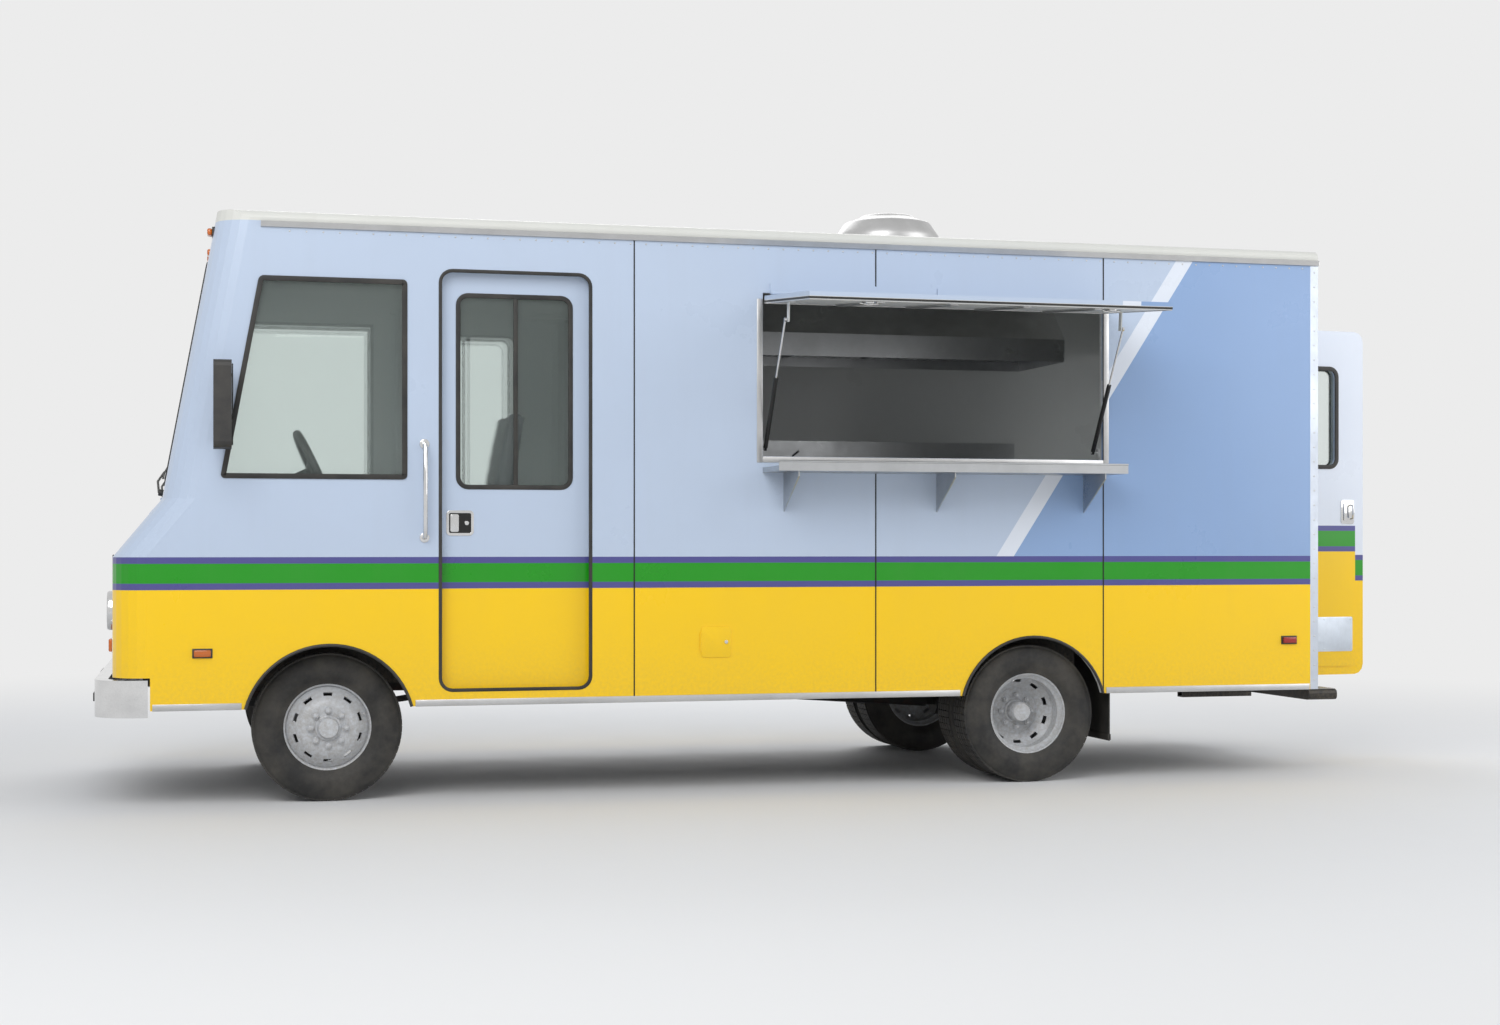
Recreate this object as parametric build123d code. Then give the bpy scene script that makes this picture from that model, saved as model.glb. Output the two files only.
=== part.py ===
from build123d import *
import math
import os

# Food truck on a walk-in van body, in millimetres.
# +Z up, +X towards the tail, -Y towards the serving side.
# The origin is on the ground, midway between the axles, on the centre line.

# Chassis
WHEELBASE = 3500
TYRE_R = 349
TYRE_W = 196
RIM_R = 203
RIM_W = 156
RIM_WALL = 8
RIM_OFFSET = 117.5
SHOULDER_W = 22
SHOULDER_H = 19
WHEEL_SIDES = 22
ARCH_SIDES = 32
RING_SIDES = 12
PIN_SIDES = 8
LAMP_SIDES = 16
CORNER_CHORDS = 3
NOSE_CHORDS = 6
OPENING_CHORDS = 3
DISC_Y = 46
DISC_T = 16
DISH_R = 120
DRUM_R = 150
DRUM_DEPTH = 20
HUB_R = 52
HUB_SIDES = 12
HUB_REACH = 32
HUB_CAP_T = 14
REAR_HUB_REACH = 94
FRONT_TRACK_HALF = 875
DUAL_OUTER_Y = 950
DUAL_INNER_Y = DUAL_OUTER_Y - 2 * RIM_OFFSET
KINGPIN_Y = 780
KINGPIN_R = 14
KINGPIN_BOSS_R = 31
KINGPIN_BOSS_H = 100
KNUCKLE_EAR = 22
KNUCKLE_HALF = 32
PIN_PROUD = 8
STEERING_ARM = 170
SPINDLE_R = 20
REAR_SPINDLE_R = 30
SHAFT_CLEAR = 0.05
SEAT_GAP = 0.3
MOVE_GAP = 5
RAIL_OUT_Y = 432
RAIL_FLANGE = 65
RAIL_Z = 520
RAIL_H = 180
RAIL_T = 8
RAIL_START = 120
BEARER_H = 50
BEARER_W = 60
BEARER_X = (-2300, -1340, -440, 320, 1080, 2260, 2900)
CROSSMEMBER_H = 100
CROSSMEMBER_W = 60
CROSS_X = (-2570, -1250, -300, 700, 1750, 2900)
SPRING_R = 3000
SPRING_HALF = 600
LEAF_T = 12
SPRING_W = 60
FRONT_SEAT = 32
REAR_SEAT = 52
SPRING_PAD = 130
HANGER_W = 32
AXLE_TUBE_R = 48
NOSE_REACH = 150

# Engine and drive line
ENGINE_HOLE_X = (-2450, -1450)
ENGINE_HOLE_HALF = 330
ENGINE_X = (-2380, -1480)
ENGINE_W = 600
ENGINE_TOP = 1130
ENGINE_RISE = 60
GEARBOX_X = (-1480, -900)
GEARBOX_W = 280
BELL_X = (-1500, -1280)
BELL_W = 400
MOUNT_X = (-2200, -1700)
MOUNT_W = 60
SHAFT_R = 38
YOKE_LEN = 80
YOKE_W = 60
EXHAUST_Y = 250
EXHAUST_Z = 480
EXHAUST_R = 28
SILENCER_R = 80
SILENCER_X = (-100, 520)
TANK_X = (-360, 560)
RADIATOR_HALF = 340
RADIATOR_TOP = 1100
RADIATOR_BACK = 100
RADIATOR_T = 55

# Body
BODY_HALF = 1100
WALL = 45
PANEL_JOINT_Z = 1000
REAR_X = 3350
NOSE_X = -2720
WINDSHIELD_BASE_X = -2500
ROOF_FRONT_X = -2250
SKIRT_Z = 450
NOSE_TOP_Z = 1150
WINDSHIELD_BASE_Z = 1420
ROOF_Z = 2750
ROOF_JOIN_Z = 2700
FRONT_CORNER_R = 150
ROOF_EDGE_R = 40
ROOF_CROWN = 18
COWL_X = -1300
FLOOR_T = 40
VENT_AT = (1500, 500)
VENT_CURB = 90
VENT_CURB_W = 520
VENT_SIDES = 16
VENT_CAP_R = 44
# Rise over the curb, radius
VENT_PROFILE = (
    (0, 40),
    (0, 150),
    (60, 190),
    (60, 290),
    (130, 300),
    (215, 250),
    (250, 160),
    (262, 40),
)
ARCH_GAP = 45
SEAM_PITCH = 1220
GLASS_T = 8
GLASS_Y = (28, 925)
GLASS_Z = (1490, 2520)
QUARTER_X = (-2060, -1400)
QUARTER_Z = (1520, 2440)
QUARTER_SLOPE = 0.17

# Serving hatch
HATCH_FRONT_X = 330
SILL_Z = 1640
HATCH_TOP_Z = 2440
HATCH_T = 35
HATCH_OPEN = 85
SHELF_DEPTH = 300
SHELF_T = 25
SHELF_DROP = 55
STRUT_D = 300
STRUT_LOW_IN = 20
STRUT_TOP_IN = 75
STRUT_SILL_RISE = 40
STRUT_INSET = 30
STRUT_BARREL = 390
STRUT_BARREL_R = 11
STRUT_ROD_R = 5
STRUT_EYE_R = 10
STRUT_PIN_R = 5
STRUT_CLEAR = 0.3

# Rear door
REAR_DOOR_Y = (-165, 725)
REAR_DOOR_TOP = 2450
REAR_DOOR_OPEN = 84
DOOR_PANEL_BORDER = 60
DOOR_PANEL_PROUD = 8
DOOR_CORNER_R = 60
REAR_WINDOW_IN = 190
REAR_WINDOW_Z = (1660, 2230)
WINDOW_R = 50

# Cab doors
CAB_DOOR_X = (-1240, -520)
CAB_DOOR_Z = (520, 2500)
CAB_DOOR_T = 30
CAB_DOOR_LAP = 20
CAB_DOOR_TRAVEL = 700
DOOR_SEAM_OFF = 210
CAB_WINDOW_IN = 110
CAB_WINDOW_Z = 1480
CAB_WINDOW_DROP = 130
OPENING_R = 60
TRACK_T = 8
STEP_Z = 470
STEP_T = 12
STEP_IN_Y = 700
REAR_STEP_X = 3000

# Driver
DRIVER_IN = 540
SEAT_W = 480

# Hinges
HINGE_R = 9
HINGE_PIN_R = 4
HINGE_LEN = 120
REAR_HINGE_PITCH = 800
HATCH_HINGE_LEN = 860
HINGE_PLATE_T = 6
HINGE_OFF = 14
HINGE_PLATE_W = 50

# Nose
HOOD_HALF = 700
HOOD_T = 25
HOOD_IN = 12
HOOD_HINGE_Y = (-450, 450)
GRILLE_HALF = 480
GRILLE_Z = (720, 1080)
GRILLE_R = 40
GRILLE_BORDER = 30
GRILLE_BARS = 7
LAMP_Y = 760
LAMP_Z = 900
LAMP_R = 92
TAIL_LAMP_IN = 135
TAIL_LAMP_Z = (1010, 1150)
TAIL_LAMP_R = 55
BUMPER_Z = (420, 590)
BUMPER_REACH = 80
BUMPER_T = 60
BUMPER_WRAP = 160
STEP_IN = 100
STEP_DEPTH = 165
RECEIVER_BAR = (-200, -140)
RECEIVER_Z = 368.25
RECEIVER = 63.5
RECEIVER_IN = 50.8
RECEIVER_PIN_R = 8.1
NOSE_SIDE_IN = 140

# Mirrors
MIRROR_OUT = 150
MIRROR_W = 150
MIRROR_Z = (1640, 2040)
MIRROR_ARM_Z = (1700, 1980)
MIRROR_ARM_R = 10

# Kitchen
COUNTER_DEPTH = 560
COUNTER_DROP = 15
KICK_H = 100
BAY_X = (400, 1000, 1600)
BAY_W = 560
SINK_X = (2330, 2760)
SINK_W = 380
SINK_DEPTH = 180
COOK_X = (560, 2500)
COOK_DEPTH = 620
COOK_H = 880
COOK_FOOT_H = 90
COOK_FOOT_W = 50
FRYER_X = (600, 840)
FRYER_W = 200
GRIDDLE_X = (1120, 1780)
OVEN_X = (1840, 2440)
SPLASH_H = 160
CANOPY_OVER = 40
CANOPY_DEPTH = 700
CANOPY_DROP = 430
CANOPY_LIP = 130
CANOPY_SLOPE = 320
SHEET_T = 4
FRIDGE_X = (-330, 330)
FRIDGE_DEPTH = 630
FRIDGE_TOP = 2480
FRIDGE_DOOR = (90, 2400)
FRIDGE_DOOR_T = 46
FRIDGE_HANDLE_Z = (1500, 2000)
FRIDGE_HANDLE = 40
GUSSET_T = 6
GUSSET_DROP = 190

# Cab
COVER_X = (-2450, -1420)
COVER_HALF = 360
COVER_TOP = 1240
COVER_T = 20
WHEEL_AT = (-1790, 1560)
WHEEL_R = (192, 218)
COLUMN_FOOT = (-2270, 1340)
COLUMN_R = 24
SEAT_X = (-1420, -930)
SEAT_Z = (1150, 1270)
SEAT_BACK_X = -1000
SEAT_BACK_H = 640
SEAT_BACK_T = 130
SEAT_BACK_LEAN = 10
PEDESTAL_X = (-1310, -1010)

# Places that follow from the sizes above
FRONT_X = -WHEELBASE / 2
AXLE_X = WHEELBASE / 2
HUB_Z = TYRE_R
RAIL_TOP = RAIL_Z + RAIL_H
FLOOR_Z = RAIL_TOP + BEARER_H
FLOOR_TOP = FLOOR_Z + FLOOR_T
INNER_HALF = BODY_HALF - WALL
REAR_IN_X = REAR_X - WALL
ARCH_R = TYRE_R + ARCH_GAP
HATCH_REAR_X = REAR_X - SEAM_PITCH
DRIVER_Y = DRIVER_IN - BODY_HALF
DOOR_SEAM_X = CAB_DOOR_X[1] + DOOR_SEAM_OFF
STRUT_LOW_Y = STRUT_LOW_IN - INNER_HALF
STRUT_TOP_Y = STRUT_TOP_IN - INNER_HALF
CEILING_Z = ROOF_Z - WALL
DOOR_LEAF_OUT = INNER_HALF - MOVE_GAP - 1
DOOR_LEAF_IN = DOOR_LEAF_OUT - CAB_DOOR_T
POCKET_Y = DOOR_LEAF_IN - MOVE_GAP
POCKET_END = CAB_DOOR_X[1] + CAB_DOOR_LAP + CAB_DOOR_TRAVEL + 20
RECEIVER_PIN_X = REAR_X + 130
HOOD_PIN = (WINDSHIELD_BASE_X - 11, WINDSHIELD_BASE_Z + 8)
REAR_HINGE_X = REAR_X + HINGE_OFF
REAR_HINGE_Y = REAR_DOOR_Y[0] + MOVE_GAP / 2
REAR_HINGE_Z = (SKIRT_Z + REAR_DOOR_TOP) / 2
HATCH_HINGE_Y = -BODY_HALF - HINGE_OFF
HATCH_HINGE_Z = HATCH_TOP_Z - MOVE_GAP / 2
HATCH_MID_X = (HATCH_FRONT_X + HATCH_REAR_X) / 2
STRUT_X = (HATCH_FRONT_X + STRUT_INSET, HATCH_REAR_X - STRUT_INSET)
STRUT_LOW = (STRUT_LOW_Y, SILL_Z + STRUT_SILL_RISE)
SHELF_TOP = SILL_Z - SHELF_DROP

os.makedirs("parts", exist_ok=True)


def block(x, y, z):
    """A box between two places on each axis."""
    size = [abs(b - a) for a, b in (x, y, z)]
    middle = [(a + b) / 2 for a, b in (x, y, z)]
    return Pos(*middle) * Box(*size)


def section(radius, sides):
    """A circle, or flat sides whose corners lie on it."""
    return RegularPolygon(radius, sides) if sides else Circle(radius)


def clear_of(radius, sides):
    """The corner radius at which flat sides stay outside a circle."""
    return radius / math.cos(math.pi / sides)


PIN_HOLE_R = clear_of(HINGE_PIN_R + SHAFT_CLEAR, PIN_SIDES)
STRUT_BORE_R = clear_of(STRUT_ROD_R + STRUT_CLEAR, PIN_SIDES)
STRUT_PIN_HOLE_R = clear_of(STRUT_PIN_R + SHAFT_CLEAR, PIN_SIDES)


def rod_x(radius, x, y, z, sides=0):
    """A rod along X between two places."""
    form = extrude(section(radius, sides), abs(x[1] - x[0]) / 2, both=True)
    return Pos((x[0] + x[1]) / 2, y, z) * Rot(0, 90, 0) * form


def rod_y(radius, x, y, z, sides=0):
    """A rod along Y between two places."""
    form = extrude(section(radius, sides), abs(y[1] - y[0]) / 2, both=True)
    return Pos(x, (y[0] + y[1]) / 2, z) * Rot(90, 0, 0) * form


def rod_z(radius, x, y, z, sides=0):
    """A rod along Z between two places."""
    form = extrude(section(radius, sides), abs(z[1] - z[0]) / 2, both=True)
    return Pos(x, y, (z[0] + z[1]) / 2) * form


def in_flats(outline, sides):
    """A form turned about Y from its (y, distance) outline, drawn with flat sides."""
    turn = 360 / sides
    reach = max(distance for _, distance in outline) + 1
    spread = reach * math.tan(math.radians(turn / 2))
    places = [y for y, _ in outline]
    width = max(places) - min(places)
    bar = extrude(make_face(Plane.YZ * Polyline(*outline, close=True)), amount=spread, both=True)
    corners = ((0, 0), (-spread, reach), (spread, reach))
    sector = extrude(make_face(Plane.XZ * Polyline(*corners, close=True)), amount=width, both=True)
    stave = bar & Pos(0, (max(places) + min(places)) / 2, 0) * sector
    return stave + [Rot(0, turn * number, 0) * stave for number in range(1, sides)]


def flat_rod_y(radius, sides, y):
    """A straight prism about the Y axis, its radius measured to the flats."""
    end = Plane.XZ * RegularPolygon(radius, sides, major_radius=False, rotation=180 / sides)
    return Pos(0, (y[0] + y[1]) / 2, 0) * extrude(end, amount=(y[1] - y[0]) / 2, both=True)


def prism_y(points, y):
    """An outline of (x, z) points, extruded along Y between two places."""
    outline = Plane.XZ * Polyline(*points, close=True)
    return Pos(0, y[1], 0) * extrude(make_face(outline), y[1] - y[0])


def rounded(width, height, radius, chords):
    """A rectangle with rounded corners, or with a number of flats at each corner."""
    if not chords:
        return RectangleRounded(width, height, radius)
    points = []
    for quarter, (side_x, side_y) in enumerate(((1, 1), (-1, 1), (-1, -1), (1, -1))):
        for step in range(chords + 1):
            angle = math.radians(90 * (quarter + step / chords))
            x = side_x * (width / 2 - radius) + radius * math.cos(angle)
            y = side_y * (height / 2 - radius) + radius * math.sin(angle)
            points.append((x, y))
    return make_face(Polyline(*points, close=True))


def rounded_y(x, z, y, radius, chords=0):
    """A plate with rounded corners in the side view, extruded along Y."""
    sketch = rounded(x[1] - x[0], z[1] - z[0], radius, chords)
    middle = Pos((x[0] + x[1]) / 2, (y[0] + y[1]) / 2, (z[0] + z[1]) / 2)
    return middle * extrude(Plane.XZ * sketch, (y[1] - y[0]) / 2, both=True)


def rounded_x(y, z, x, radius, chords=0):
    """A plate with rounded corners in the end view, extruded along X."""
    sketch = rounded(y[1] - y[0], z[1] - z[0], radius, chords)
    middle = Pos((x[0] + x[1]) / 2, (y[0] + y[1]) / 2, (z[0] + z[1]) / 2)
    return middle * extrude(Plane.YZ * sketch, (x[1] - x[0]) / 2, both=True)


def other_side(shape):
    """The same piece on the other side of the centre line."""
    return mirror(shape, about=Plane.XZ)


def save(name, *pieces):
    """One STEP file, whose solids do not touch unless they are fused."""
    solids = [solid for piece in pieces for solid in piece.solids()]
    export_step(Compound(children=solids), f"parts/{name}.step")


# Wheels, made at the origin with the outer side towards +Y, then placed

def tyre():
    """A tyre with bulged sides and sloped shoulders, round its rim."""
    half = TYRE_W / 2
    bulge = RIM_R + 0.4 * (TYRE_R - RIM_R)
    side = [
        (RIM_W / 2, RIM_R),
        (half, bulge),
        (half - SHOULDER_W / 4, TYRE_R - SHOULDER_H),
        (half - SHOULDER_W, TYRE_R),
    ]
    return in_flats(side + [(-y, r) for y, r in reversed(side)], WHEEL_SIDES)


def front_wheel():
    """A front wheel whose dish bulges outwards, with its drum and bored hub."""
    end = RIM_W / 2
    low = RIM_R - RIM_WALL
    wheel = in_flats([
        (-end, low),
        (-end, RIM_R),
        (end, RIM_R),
        (end, low),
        (DISC_Y + DISC_T, low),
        (RIM_OFFSET, DISH_R),
        (RIM_OFFSET, HUB_R - 2),
        (-DRUM_DEPTH, HUB_R - 2),
        (-DRUM_DEPTH, DRUM_R),
        (DISC_Y, DRUM_R),
        (DISC_Y, low),
    ], WHEEL_SIDES)
    hub_end = RIM_OFFSET + HUB_REACH
    hub = flat_rod_y(HUB_R, HUB_SIDES, (-DRUM_DEPTH, hub_end))
    bore = flat_rod_y(SPINDLE_R + SHAFT_CLEAR, HUB_SIDES, (-DRUM_DEPTH - 1, hub_end - HUB_CAP_T))
    return wheel + hub - bore


def rear_wheels():
    """Twin rims on one drum and hub, measured from the middle of the outer one."""
    end = RIM_W / 2
    low = RIM_R - RIM_WALL
    inner = -2 * RIM_OFFSET
    face = -RIM_OFFSET + DISC_T
    wheel = in_flats([
        (end, low),
        (end, RIM_R),
        (-end, RIM_R),
        (-end, low),
        (-DISC_Y - DISC_T, low),
        (-RIM_OFFSET, DISH_R),
        (inner + DISC_Y + DISC_T, low),
        (inner + end, low),
        (inner + end, RIM_R),
        (inner - end, RIM_R),
        (inner - end, low),
        (inner + DISC_Y, low),
        (inner + DISC_Y, DRUM_R),
        (inner - DRUM_DEPTH, DRUM_R),
        (inner - DRUM_DEPTH, HUB_R - 2),
        (face, HUB_R - 2),
        (face, DISH_R),
        (-DISC_Y, low),
    ], WHEEL_SIDES)
    hub_end = face + REAR_HUB_REACH
    hub = flat_rod_y(HUB_R, HUB_SIDES, (inner - DRUM_DEPTH, hub_end))
    bore = flat_rod_y(REAR_SPINDLE_R + SHAFT_CLEAR, HUB_SIDES, (inner - DRUM_DEPTH - 1, hub_end - HUB_CAP_T))
    return wheel + hub - bore


def wheels():
    """The rims and tyres of all six wheels."""
    front = front_wheel()
    twin = rear_wheels()
    rubber = tyre()
    front_at = Pos(FRONT_X, FRONT_TRACK_HALF, HUB_Z)
    outer_at = Pos(AXLE_X, DUAL_OUTER_Y, HUB_Z)
    inner_at = Pos(AXLE_X, DUAL_INNER_Y, HUB_Z)
    sides = (("right", lambda piece: piece), ("left", other_side))
    for side, place in sides:
        save(f"front_rim_{side}", place(front_at * front))
        save(f"front_tyre_{side}", place(front_at * rubber))
        save(f"rear_rims_{side}", place(outer_at * twin))
        save(f"rear_tyres_{side}", place(outer_at * rubber), place(inner_at * rubber))


# Axles, steering and springs

def spring_pad(axle_x, side, z):
    """The pad between an axle and its spring."""
    y = side * (RAIL_OUT_Y - RAIL_FLANGE / 2)
    xs = (axle_x - SPRING_PAD / 2, axle_x + SPRING_PAD / 2)
    return block(xs, (y - SPRING_W / 2, y + SPRING_W / 2), z)


def front_axle():
    """A beam axle with an upright boss for each kingpin."""
    half = KINGPIN_BOSS_H / 2
    beam = block((FRONT_X - 32, FRONT_X + 32), (-KINGPIN_Y + 20, KINGPIN_Y - 20), (HUB_Z - half, HUB_Z + 20))
    web = block((FRONT_X - 40, FRONT_X - 8), (-KINGPIN_Y + 60, KINGPIN_Y - 60), (HUB_Z - 40, HUB_Z + 5))
    beam = beam - web - Pos(48, 0, 0) * web
    for side in (-1, 1):
        y = side * KINGPIN_Y
        boss = rod_z(KINGPIN_BOSS_R, FRONT_X, y, (HUB_Z - half, HUB_Z + half), RING_SIDES)
        bore_r = clear_of(KINGPIN_R + SHAFT_CLEAR, RING_SIDES)
        bore = rod_z(bore_r, FRONT_X, y, (HUB_Z - half - 10, HUB_Z + half + 10), RING_SIDES)
        beam = beam + boss + spring_pad(FRONT_X, side, (HUB_Z + 20, HUB_Z + FRONT_SEAT)) - bore
    return beam


def knuckle():
    """The right knuckle: a yoke round the boss, its kingpin and the spindle."""
    gap = KINGPIN_BOSS_H / 2 + SEAT_GAP
    top = gap + KNUCKLE_EAR
    xs = (FRONT_X - KNUCKLE_HALF, FRONT_X + KNUCKLE_HALF)
    pin_z = (HUB_Z - top - PIN_PROUD, HUB_Z + top + PIN_PROUD)
    pin = rod_z(KINGPIN_R, FRONT_X, KINGPIN_Y, pin_z, RING_SIDES)
    back_y = KINGPIN_Y + KINGPIN_BOSS_R + MOVE_GAP
    yoke = block(xs, (back_y, back_y + 34), (HUB_Z - top, HUB_Z + top))
    for z in ((HUB_Z - top, HUB_Z - gap), (HUB_Z + gap, HUB_Z + top)):
        yoke = yoke + block(xs, (KINGPIN_Y - KNUCKLE_HALF, back_y + 4), z)
    hub_end = FRONT_TRACK_HALF + RIM_OFFSET + HUB_REACH - HUB_CAP_T
    spindle = rod_y(SPINDLE_R, FRONT_X, (KINGPIN_Y + 60, hub_end - 2), HUB_Z, HUB_SIDES)
    arm_z = (HUB_Z - top, HUB_Z - gap - 4)
    arm = block((FRONT_X + 20, FRONT_X + STEERING_ARM), (KINGPIN_Y - 10, KINGPIN_Y + 12), arm_z)
    return pin + yoke + spindle + arm


def rear_axle():
    """A live axle with its differential and spring pads."""
    tube_end = DUAL_INNER_Y - DRUM_DEPTH - MOVE_GAP
    hub_end = DUAL_OUTER_Y - RIM_OFFSET + DISC_T + REAR_HUB_REACH - HUB_CAP_T
    tube = rod_y(AXLE_TUBE_R, AXLE_X, (-tube_end, tube_end), HUB_Z, RING_SIDES)
    spindle = rod_y(REAR_SPINDLE_R, AXLE_X, (2 - hub_end, hub_end - 2), HUB_Z, HUB_SIDES)
    turn = Plane(origin=(AXLE_X, 0, HUB_Z), x_dir=(0, 1, 0), z_dir=(1, 0, 0))
    case = turn * (Pos(0, 0, 5) * extrude(RegularPolygon(140, 16), 65, both=True))
    nose = turn * (Pos(0, 0, -NOSE_REACH) * extrude(RegularPolygon(80, 12), NOSE_REACH - 50))
    axle = tube + spindle + case + nose
    for side in (-1, 1):
        axle = axle + spring_pad(AXLE_X, side, (HUB_Z, HUB_Z + REAR_SEAT))
    return axle


def spring_pack(axle_x, seat_z, side):
    """Three leaves in one outline, and the hangers under the rail at their ends."""
    y = side * (RAIL_OUT_Y - RAIL_FLANGE / 2)
    ys = (y - SPRING_W / 2, y + SPRING_W / 2)

    def top(x):
        """The upper face of the longest leaf, on its arc."""
        return seat_z + 3 * LEAF_T + SPRING_R - math.sqrt(SPRING_R**2 - x**2)

    lower = []
    for number, half in enumerate((SPRING_HALF, 0.78 * SPRING_HALF, 0.55 * SPRING_HALF)):
        lower.append((half, top(half) - number * LEAF_T))
        lower.append((half, top(half) - (number + 1) * LEAF_T))
    right = [(0, top(0)), (SPRING_HALF / 2, top(SPRING_HALF / 2)), *lower]
    left = [(-x, z) for x, z in reversed(right[1:])]
    outline = right + [(0, seat_z)] + left
    pack = prism_y([(axle_x + x, z) for x, z in outline], ys)
    for end in (-1, 1):
        x = axle_x + end * SPRING_HALF
        xs = (x - HANGER_W / 2, x + HANGER_W / 2)
        pack = pack + block(xs, ys, (top(SPRING_HALF) - 2 * LEAF_T, RAIL_Z))
    return pack


def springs():
    """A pack at each end of both axles."""
    packs = []
    for side in (-1, 1):
        packs.append(spring_pack(FRONT_X, HUB_Z + FRONT_SEAT, side))
        packs.append(spring_pack(AXLE_X, HUB_Z + REAR_SEAT, side))
    return packs


# Frame and drive line

def chassis_frame():
    """The two channel rails."""
    ends = (NOSE_X + RAIL_START, REAR_STEP_X - 20)
    inner = RAIL_OUT_Y - RAIL_FLANGE
    web = RAIL_OUT_Y - RAIL_T
    outline = [
        (RAIL_OUT_Y, RAIL_Z),
        (RAIL_OUT_Y, RAIL_TOP),
        (inner, RAIL_TOP),
        (inner, RAIL_TOP - RAIL_T),
        (web, RAIL_TOP - RAIL_T),
        (web, RAIL_Z + RAIL_T),
        (inner, RAIL_Z + RAIL_T),
        (inner, RAIL_Z),
    ]
    channel = make_face(Plane.YZ * Polyline(*outline, close=True))
    rail = Pos(ends[0], 0, 0) * extrude(channel, ends[1] - ends[0])
    return [rail, other_side(rail)]


def cross_members():
    """The members between the rails and the bearers that lie on them."""
    members = []
    inside = RAIL_OUT_Y - RAIL_T
    for x in CROSS_X:
        z = (RAIL_TOP - CROSSMEMBER_H, RAIL_TOP - RAIL_T)
        xs = (x - CROSSMEMBER_W / 2, x + CROSSMEMBER_W / 2)
        members.append(block(xs, (-inside, inside), z))
    for x in BEARER_X:
        xs = (x - BEARER_W / 2, x + BEARER_W / 2)
        end = POCKET_Y if COWL_X < x < POCKET_END else INNER_HALF - MOVE_GAP
        if x < ENGINE_HOLE_X[1]:
            half = block(xs, (ENGINE_HOLE_HALF, end), (RAIL_TOP, FLOOR_Z))
            members += [half, other_side(half)]
        else:
            members.append(block(xs, (-end, end), (RAIL_TOP, FLOOR_Z)))
    return members


def engine():
    """The engine and gearbox as one plain mass, on the cross members."""
    motor = block(ENGINE_X, (-ENGINE_W / 2, ENGINE_W / 2), (RAIL_Z + ENGINE_RISE, ENGINE_TOP))
    gearbox = block(GEARBOX_X, (-GEARBOX_W / 2, GEARBOX_W / 2), (RAIL_Z - 60, RAIL_Z + 75))
    bell = block(BELL_X, (-BELL_W / 2, BELL_W / 2), (RAIL_Z, RAIL_TOP - CROSSMEMBER_H))
    inside = RAIL_OUT_Y - RAIL_T
    mounts = []
    for x in MOUNT_X:
        xs = (x - MOUNT_W / 2, x + MOUNT_W / 2)
        mounts.append(block(xs, (-inside, inside), (RAIL_Z + 90, RAIL_Z + 110)))
    return motor + gearbox + bell + mounts


def drive_shaft():
    """The propeller shaft from the gearbox to the axle's nose."""
    start = Vector(GEARBOX_X[1], 0, RAIL_Z)
    end = Vector(AXLE_X - NOSE_REACH, 0, HUB_Z)
    along = end - start
    plane = Plane(origin=start, z_dir=along)
    tube = plane * rod_z(SHAFT_R, 0, 0, (45, along.length - 45), RING_SIDES)
    ys = (-YOKE_W / 2, YOKE_W / 2)
    front_yoke = block((start.X, start.X + YOKE_LEN), ys, (RAIL_Z - 34, RAIL_Z + 26))
    rear_yoke = block((end.X - YOKE_LEN, end.X), ys, (HUB_Z - 24, HUB_Z + 36))
    return tube + front_yoke + rear_yoke


def exhaust():
    """Down pipe, silencer and a tail pipe that leaves on the right."""
    path = Polyline(
        (-1270, EXHAUST_Y, EXHAUST_Z),
        (2370, EXHAUST_Y, EXHAUST_Z),
        (2440, EXHAUST_Y + 70, EXHAUST_Z),
        (2440, BODY_HALF - 70, EXHAUST_Z),
    )
    end = Plane(origin=path @ 0, z_dir=path % 0) * RegularPolygon(EXHAUST_R, PIN_SIDES)
    pipe = sweep(end, path, transition=Transition.RIGHT)
    silencer = rod_x(SILENCER_R, SILENCER_X, EXHAUST_Y, EXHAUST_Z, RING_SIDES)
    flange = block((-1330, -1270), (EXHAUST_Y - 90, EXHAUST_Y + 30), (EXHAUST_Z - 30, RAIL_Z))
    ys = (EXHAUST_Y - 6, EXHAUST_Y + 6)
    z = (EXHAUST_Z, RAIL_TOP - CROSSMEMBER_H)
    hangers = [block((x - 10, x + 10), ys, z) for x in CROSS_X[2:4]]
    return pipe + silencer + flange + hangers


def fuel_tank():
    """A box tank outside the left rail, hung from the bearers and the rail."""
    z = (SKIRT_Z - 5, RAIL_TOP - 20)
    tank = rounded_y(TANK_X, z, (-INNER_HALF + 60, -RAIL_OUT_Y - 60), 50, CORNER_CHORDS)
    for x in (BEARER_X[2] + 100, BEARER_X[3]):
        tank = tank + block((x - 25, x + 25), (-INNER_HALF + 120, -RAIL_OUT_Y), (z[1] - 20, RAIL_TOP))
    return tank


# Body shell

def corner(centre, radius, angle, chords):
    """Flats round a front corner, as (x, y) points."""
    points = []
    for step in range(chords + 1):
        turn = math.radians(angle + 90 * step / chords)
        points.append((centre[0] + radius * math.cos(turn), centre[1] + radius * math.sin(turn)))
    return points


def plan(front_x, half, radius, rear_x, chords):
    """The body's outline seen from above, with flats at the front corners."""
    upper = corner((front_x + radius, half - radius), radius, 90, chords)
    lower = corner((front_x + radius, radius - half), radius, 180, chords)
    points = [(rear_x, half), *upper, *lower, (rear_x, -half)]
    return make_face(Polyline(*points, close=True))


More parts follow.
